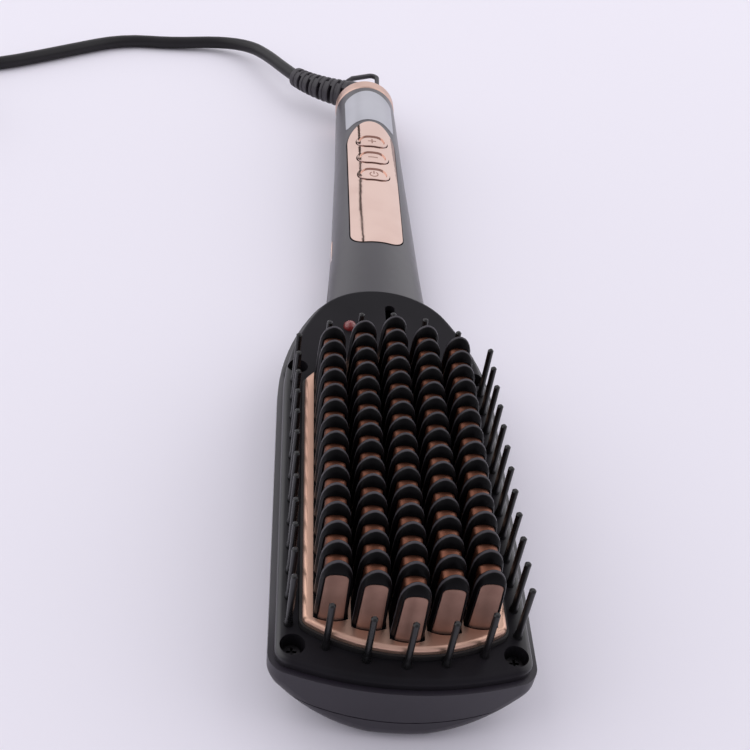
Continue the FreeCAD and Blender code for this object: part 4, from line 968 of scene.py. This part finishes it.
chord = RELIEF_END - RELIEF_ROOT
relief_along = chord.normalized()
relief_left = Vector((0, 0, 1)).cross(relief_along).normalized()
bend_radius = chord.length / 2 / math.sin(RELIEF_BOW)
relief_length = 2 * bend_radius * RELIEF_BOW


def on_relief(length):
    """The place and the heading on the sleeve's middle line, in millimetres."""
    turned = RELIEF_BOW * (1 - 2 * length / relief_length)
    forward = chord.length / 2 - bend_radius * math.sin(turned)
    aside = bend_radius * (math.cos(turned) - math.cos(RELIEF_BOW))
    heading = relief_along * math.cos(turned) + relief_left * math.sin(turned)
    return RELIEF_ROOT + relief_along * forward + relief_left * aside, heading


def relief_radius(length):
    return RELIEF_RADII[0] + (RELIEF_RADII[1] - RELIEF_RADII[0]) * length / relief_length


def across_of(heading):
    """The directions to the left of a heading and over it."""
    left = Vector((0, 0, 1)).cross(heading).normalized()
    return left, heading.cross(left)


def hoop(mesh, middle, heading, reach, start=0, sweep=360, steps=36):
    """A circle across a heading, or part of one. Angles grow from the left, upward."""
    left, over = across_of(heading)
    count = steps if sweep == 360 else steps + 1
    angles = [math.radians(start + sweep * step / steps) for step in range(count)]
    return ring(mesh, [middle + (left * math.cos(a) + over * math.sin(a)) * reach for a in angles])


print(f"the sleeve is {relief_length:.1f} mm long and bends with a radius of {bend_radius:.0f} mm")

# %% [markdown]
# Round slices with rounded rims are joined by thinner slices. Each of those is cut off on one side,
# and that is where the slit opens. The next one is cut off on the other side.

# %% Slices and joints
SLITS = 10
SLIT = 1.25
SLIT_OPENING = 160
SLIT_TILT = 30
ROUNDED = 0.35
RIM_STEP = 0.1
JOINT_INSET = 0.3
JOINT_OVERLAP = 0.2
END_COLLAR = 2.6


def slice_of_relief(mesh, start, end):
    rim = [(0, ROUNDED), (RIM_STEP, RIM_STEP), (ROUNDED, 0)]
    stations = [(start + along, inset) for along, inset in rim]
    stations += [(end - along, inset) for along, inset in reversed(rim)]
    closed_tube(mesh, [
        hoop(mesh, *on_relief(length), relief_radius(length) - inset)
        for length, inset in stations
    ])


def joint_of_relief(mesh, start, end, facing):
    """A thinner slice without the part that faces one way."""
    first, sweep = facing + SLIT_OPENING / 2, 360 - SLIT_OPENING
    closed_tube(mesh, [
        hoop(mesh, *on_relief(length), relief_radius(length) - JOINT_INSET, first, sweep, 24)
        for length in (start - JOINT_OVERLAP, end + JOINT_OVERLAP)
    ])


mesh = bmesh.new()
pitch = (relief_length - END_COLLAR) / SLITS
for slit in range(SLITS):
    slit_end = pitch * (slit + 1)
    slice_of_relief(mesh, pitch * slit, slit_end - SLIT)
    joint_of_relief(mesh, slit_end - SLIT, slit_end, -SLIT_TILT + 180 * (slit % 2))
slice_of_relief(mesh, relief_length - END_COLLAR, relief_length)
relief = piece_from(mesh, "slit_sleeve", "swivel", gland_rubber)
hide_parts("bend_relief")

# %% [markdown]
# ## The gland and its loop
# The gland is one rubber moulding of a dome, an elbow and a loop to hang the brush by. Each is a
# closed form of its own, and they run into each other. The dome and the elbow are hoops along
# straight lines.

# %% The dome and the elbow
TAIL_LEVEL = 12.5
STEM = [(5.5, 128.5), (5.5, 141.3), (7.3, 141.3), (7.66, 141.45), (7.8, 141.8)]
DOME_FOOT = 144.0
DOME_RADIUS = 7.8
ELBOW_LENGTH = 7.5
KNUCKLE = 6.2
SMALLEST_HOOP = 0.2
ELBOW_GAP = 0.01

gland_mesh = bmesh.new()
dome = arc((0, DOME_FOOT), (DOME_RADIUS, DOME_RADIUS), 0, 86, 14)
tailward = Vector((0, 1, 0))
closed_tube(gland_mesh, [
    hoop(gland_mesh, Vector((0, y, TAIL_LEVEL)), tailward, reach, steps=48)
    for reach, y in (*STEM, *dome)
])

root, root_heading = on_relief(0.0)
knuckle = root - root_heading * ELBOW_LENGTH
elbow = [
    hoop(gland_mesh, knuckle + root_heading * along, root_heading, -reach)
    for reach, along in arc((0, 0), (KNUCKLE, KNUCKLE), 270, 184, 12)
    if -reach > SMALLEST_HOOP
]
elbow_end = root - root_heading * ELBOW_GAP
elbow.append(hoop(gland_mesh, elbow_end, root_heading, RELIEF_RADII[0]))
closed_tube(gland_mesh, elbow)
print(f"the elbow is made of {len(elbow)} hoops")

# %% [markdown]
# The loop is a section moved along a line that is straight, turns a round corner and runs back. The
# section is a squarish ellipse: a power below 1 pushes its points out toward the corners.

# %% The loop
LOOP_LEVEL = 16.6
LOOP_START = [(-8.6, 155.4, 14.9), (-7.2, 157.0, 15.8), (-5.4, 158.5, LOOP_LEVEL)]
LOOP_CORNER = (3.3, 160.7)
LOOP_CORNER_RADIUS = 2.4
LOOP_END = (5.3, 146.5, LOOP_LEVEL - 0.6)
LOOP_SECTION = (0.95, 1.0)
SQUARENESS = 0.7


def squarish(value):
    return math.copysign(abs(value) ** SQUARENESS, value)


corner = arc(LOOP_CORNER, (LOOP_CORNER_RADIUS, LOOP_CORNER_RADIUS), 115, -3, 10)
loop_places = LOOP_START + [(x, y, LOOP_LEVEL) for x, y in corner] + [LOOP_END]
loop_line = [Vector(place) for place in loop_places]
befores = loop_line[:1] + loop_line
afters = loop_line[1:] + loop_line[-1:]
section = [(squarish(a), squarish(b)) for a, b in arc((0, 0), LOOP_SECTION, 0, 337.5, 15)]
loops = []
for before, here, after in zip(befores, loop_line, afters):
    left, over = across_of((after - before).normalized())
    loops.append(ring(gland_mesh, [here + left * a + over * b for a, b in section]))
closed_tube(gland_mesh, loops)
gland = piece_from(gland_mesh, "gland_with_loop", "swivel", gland_rubber)
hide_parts("swivel_gland")

# %% [markdown]
# ## The side key
# The key's plated face stands a little proud of the shell, so it catches the light along the
# handle's outline. On a merged copy of the CAD key, long edges are divided, and then only the outer
# face is moved. It moves less toward its ends, which gives it a slight crown.

# %% The key with a crowned face
KEY_FACE = -13.0
KEY_PROUD = 0.9
KEY_CROWN = 0.35
LONG_EDGE = 4.0

low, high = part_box("side_key")
mesh = merged_copy("side_key")
long_edges = [edge for edge in mesh.edges if edge.calc_length() > LONG_EDGE * MM]
bmesh.ops.subdivide_edges(mesh, edges=long_edges, cuts=6, use_grid_fill=True)
for vertex in mesh.verts:
    if vertex.co.x < KEY_FACE * MM:
        across = 2 * (vertex.co.y - (low.y + high.y) / 2) / (high.y - low.y)
        vertex.co.x -= KEY_PROUD * MM * (1 - KEY_CROWN * across * across)
key = piece_from(mesh, "crowned_key", "side_key", rose_mirror, crisp=30)
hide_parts("side_key")

# %% [markdown]
# ## Sheets laid on a part
# The label and the marks are thin sheets that hug a curved part. Each starts as a flat outline
# above it. Every vertex is dropped onto the part by casting a ray, and Solidify's operator then
# gives the sheet its thickness.

# %% A sheet laid on a CAD part
RAY_HEIGHT = 0.1
DOWN = Vector((0, 0, -1))
bpy.context.view_layer.update()


def laid_on(mesh, node, lift):
    """Drops every vertex onto a CAD part from above, and lifts it off by some millimetres."""
    for vertex in mesh.verts:
        start = Vector((vertex.co.x, vertex.co.y, RAY_HEIGHT))
        hit, place, normal, _ = nodes[node].ray_cast(start, DOWN)
        if not hit:
            raise ValueError(f"nothing of {node} lies under {start}")
        vertex.co = place + normal * lift * MM


def thicken(mesh, thickness):
    """Gives a sheet that lies on a part a thickness in millimetres, upward."""
    bmesh.ops.recalc_face_normals(mesh, faces=mesh.faces)
    if sum(face.normal.z for face in mesh.faces) < 0:
        bmesh.ops.reverse_faces(mesh, faces=mesh.faces)
    bmesh.ops.solidify(mesh, geom=mesh.faces[:], thickness=-thickness * MM)


print(f"rays start {RAY_HEIGHT / MM:.0f} mm above the table")

# %% [markdown]
# ## The label
# A blank foil label lies on the neck between the panel's tip and the ring. Its near edge is hollow
# and its far edge is full, so that it follows both. A grid is bent to that outline.

# %% The blank label
LABEL_HALF = 9.6
LABEL_CORNER = 1.4
LABEL_NEAR = (106.6, 101.6)
LABEL_FAR = (131.6, 127.4)
NEAR_EDGE_POWER = 2.6
LABEL_LIFT = 0.02
LABEL_THICKNESS = 0.1

mesh = bmesh.new()
bmesh.ops.create_grid(mesh, x_segments=28, y_segments=26, size=1)
for vertex in mesh.verts:
    across = vertex.co.x
    past = max(0, abs(across) * LABEL_HALF - LABEL_HALF + LABEL_CORNER)
    rounding = LABEL_CORNER - math.sqrt(LABEL_CORNER**2 - past * past)
    hollow = (LABEL_NEAR[1] - LABEL_NEAR[0]) * abs(across) ** NEAR_EDGE_POWER
    full = (LABEL_FAR[1] - LABEL_FAR[0]) * across * across
    near = LABEL_NEAR[0] + hollow + rounding
    far = LABEL_FAR[0] + full - rounding
    vertex.co = at(across * LABEL_HALF, near + (far - near) * (vertex.co.y + 1) / 2, 0)
laid_on(mesh, "front_shell", LABEL_LIFT)
thicken(mesh, LABEL_THICKNESS)
piece_from(mesh, "blank_label", "brush", label_foil)

# %% [markdown]
# ## The marks on the buttons
# The three buttons carry the usual signs: a plus, a minus and the sign for power. They are shallow
# prints a little darker than the plating. A bar is a small grid, and the open circle of the power
# sign is a short line that is spun almost all the way round. Its opening faces the cord.

# %% Bars and an open circle
BAR_WIDTH = 0.5
HALF_OPENING = 0.6


def bar(mesh, x, y, length, width):
    made = bmesh.ops.create_grid(mesh, x_segments=8, y_segments=2, size=0.5)["verts"]
    bmesh.ops.scale(mesh, verts=made, vec=Vector((length, width, 1)) * MM)
    bmesh.ops.translate(mesh, verts=made, vec=at(x, y, 0))


def open_circle(mesh, y, inner, outer):
    """A flat circle line without twice HALF_OPENING radians of its turn."""
    ends = [
        mesh.verts.new(at(math.sin(HALF_OPENING) * reach, y + math.cos(HALF_OPENING) * reach, 0))
        for reach in (inner, outer)
    ]
    geometry = [*ends, mesh.edges.new(ends)]
    angle = math.tau - 2 * HALF_OPENING
    bmesh.ops.spin(mesh, geom=geometry, cent=at(0, y, 0), axis=(0, 0, -1), angle=angle, steps=20)


def draw_plus(mesh, y):
    """A long bar, and two short ones that meet its sides."""
    span = 3.2
    arm = (span - BAR_WIDTH) / 2
    bar(mesh, 0, y, span, BAR_WIDTH)
    for side in (1, -1):
        bar(mesh, 0, y + side * (BAR_WIDTH + arm) / 2, BAR_WIDTH, arm)


def draw_minus(mesh, y):
    bar(mesh, 0, y, 3.7, BAR_WIDTH)


def draw_power(mesh, y):
    open_circle(mesh, y - 0.2, 1.3, 1.75)
    bar(mesh, 0, y + 1.0, BAR_WIDTH, 1.8)


print(f"the power sign is open over {2 * HALF_OPENING} radians")

# %% [markdown]
# Each sign lies on its own button and rides with it, so that it sinks when the button is pressed.

# %% A mark on each button
MARK_LIFT = 0.01
MARK_THICKNESS = 0.03

mark_print = moulded(
    "mark_print", colour(150, 112, 98), colour(164, 124, 110),
    rough=0.45, grain=0.1, depth=0.002)
for sign, draw in (("plus", draw_plus), ("minus", draw_minus), ("power", draw_power)):
    low, high = box_in_mm(f"button_{sign}")
    mesh = bmesh.new()
    draw(mesh, (low.y + high.y) / 2)
    laid_on(mesh, f"button_{sign}", MARK_LIFT)
    thicken(mesh, MARK_THICKNESS)
    piece_from(mesh, f"mark_{sign}", f"button_{sign}", mark_print)

# %% [markdown]
# ## The table and the light
# A wide pale table and three large soft lights give the even light of a product picture. The light
# stays at a plain level, and the table's own colour makes it pale.

# %% The table
TABLE_HALF = 6

finish = Finish("table_white")
paint = finish.wear(
    base_color=finish.mix(finish.noise(1.4), colour(234, 231, 240), colour(240, 237, 246)),
    roughness=0.6,
    specular_ior_level=0.25,
)
mesh = bmesh.new()
bmesh.ops.create_grid(mesh, x_segments=1, y_segments=1, size=TABLE_HALF)
object_from(mesh, "table", paint)
print(f"the table is {2 * TABLE_HALF} m wide")

# %% [markdown]
# The lamps stand round the brush like windows, and each faces it. A direction becomes a turn with
# to_track_quat, which points a lamp's own -Z along it.

# %% The lamps
WINDOWS = {
    "left_window": ((-1.3, 0.1, 1.0), 2.2, 2.2, 14.5),
    "right_window": ((1.3, 0.3, 1.0), 2.2, 2.2, 11),
    "back_window": ((0.0, 1.5, 1.1), 4.2, 2.1, 15),
}


def window(name, place, width, height, power):
    """A soft lamp that faces the brush, with its size in metres and its power in watts."""
    data = bpy.data.lights.new(name, "AREA")
    data.shape = "RECTANGLE"
    data.size = width
    data.size_y = height
    data.energy = power
    lamp = link(bpy.data.objects.new(name, data))
    lamp.location = place
    lamp.rotation_mode = "QUATERNION"
    lamp.rotation_quaternion = (-Vector(place)).to_track_quat("-Z", "Y")


for name, settings in WINDOWS.items():
    window(name, *settings)
print(len(WINDOWS), "lamps")

# %% [markdown]
# Light Path tells a shader which kind of ray has met it. The room is as bright as paper for the rays
# that see it or look through glass, and dimmer for those that light things up or are reflected.

# %% The room
PAPER = {"Color": colour(232, 229, 238)}
SEEN_STRENGTH = 1.0
LIGHT_STRENGTH = 0.6


def pale_room():
    world = bpy.data.worlds.new("pale_room")
    world.use_nodes = True
    bpy.context.scene.world = world
    room = Network(world.node_tree)
    camera_ray = room.node("ShaderNodeLightPath", output="Is Camera Ray")
    glass_ray = room.node("ShaderNodeLightPath", output="Is Transmission Ray")
    seen = (camera_ray + glass_ray).clamped()
    dim = room.node("ShaderNodeBackground", None, PAPER | {"Strength": LIGHT_STRENGTH})
    bright = room.node("ShaderNodeBackground", None, PAPER | {"Strength": SEEN_STRENGTH})
    share = room.node("ShaderNodeMixShader", None, seen, dim, bright)
    room.feed(world.node_tree.nodes["World Output"].inputs["Surface"], share)


pale_room()
bpy.context.scene.view_settings.view_transform = "Standard"
print(f"the room lights with strength {LIGHT_STRENGTH} and is seen with {SEEN_STRENGTH}")

# %% [markdown]
# Plating looks like metal only when it has something dark to reflect beside the lights.
# Photographers hang a narrow black flag for that. This one is felt, and it isn't seen directly: only
# reflections and glass show it.

# %% A black flag
FLAG_MIDDLE = (-0.315, 1.2, 0.8)
FLAG_SIZE = (0.07, 0.004, 0.9)

felt = moulded(
    "flag_felt", colour(72, 66, 62), colour(84, 78, 73),
    rough=0.9, spread=0.05, grain=2.0, depth=0.1, specular_ior_level=0.0)
mesh = bmesh.new()
hung = Matrix.Translation(FLAG_MIDDLE) @ Matrix.Diagonal((*FLAG_SIZE, 1))
bmesh.ops.create_cube(mesh, size=1, matrix=hung)
flag = object_from(mesh, "black_flag", felt)
flag.visible_camera = False
flag.visible_diffuse = False
flag.visible_shadow = False
print(f"the flag is {FLAG_SIZE[2]} m high and {FLAG_SIZE[0]} m wide")

# %% [markdown]
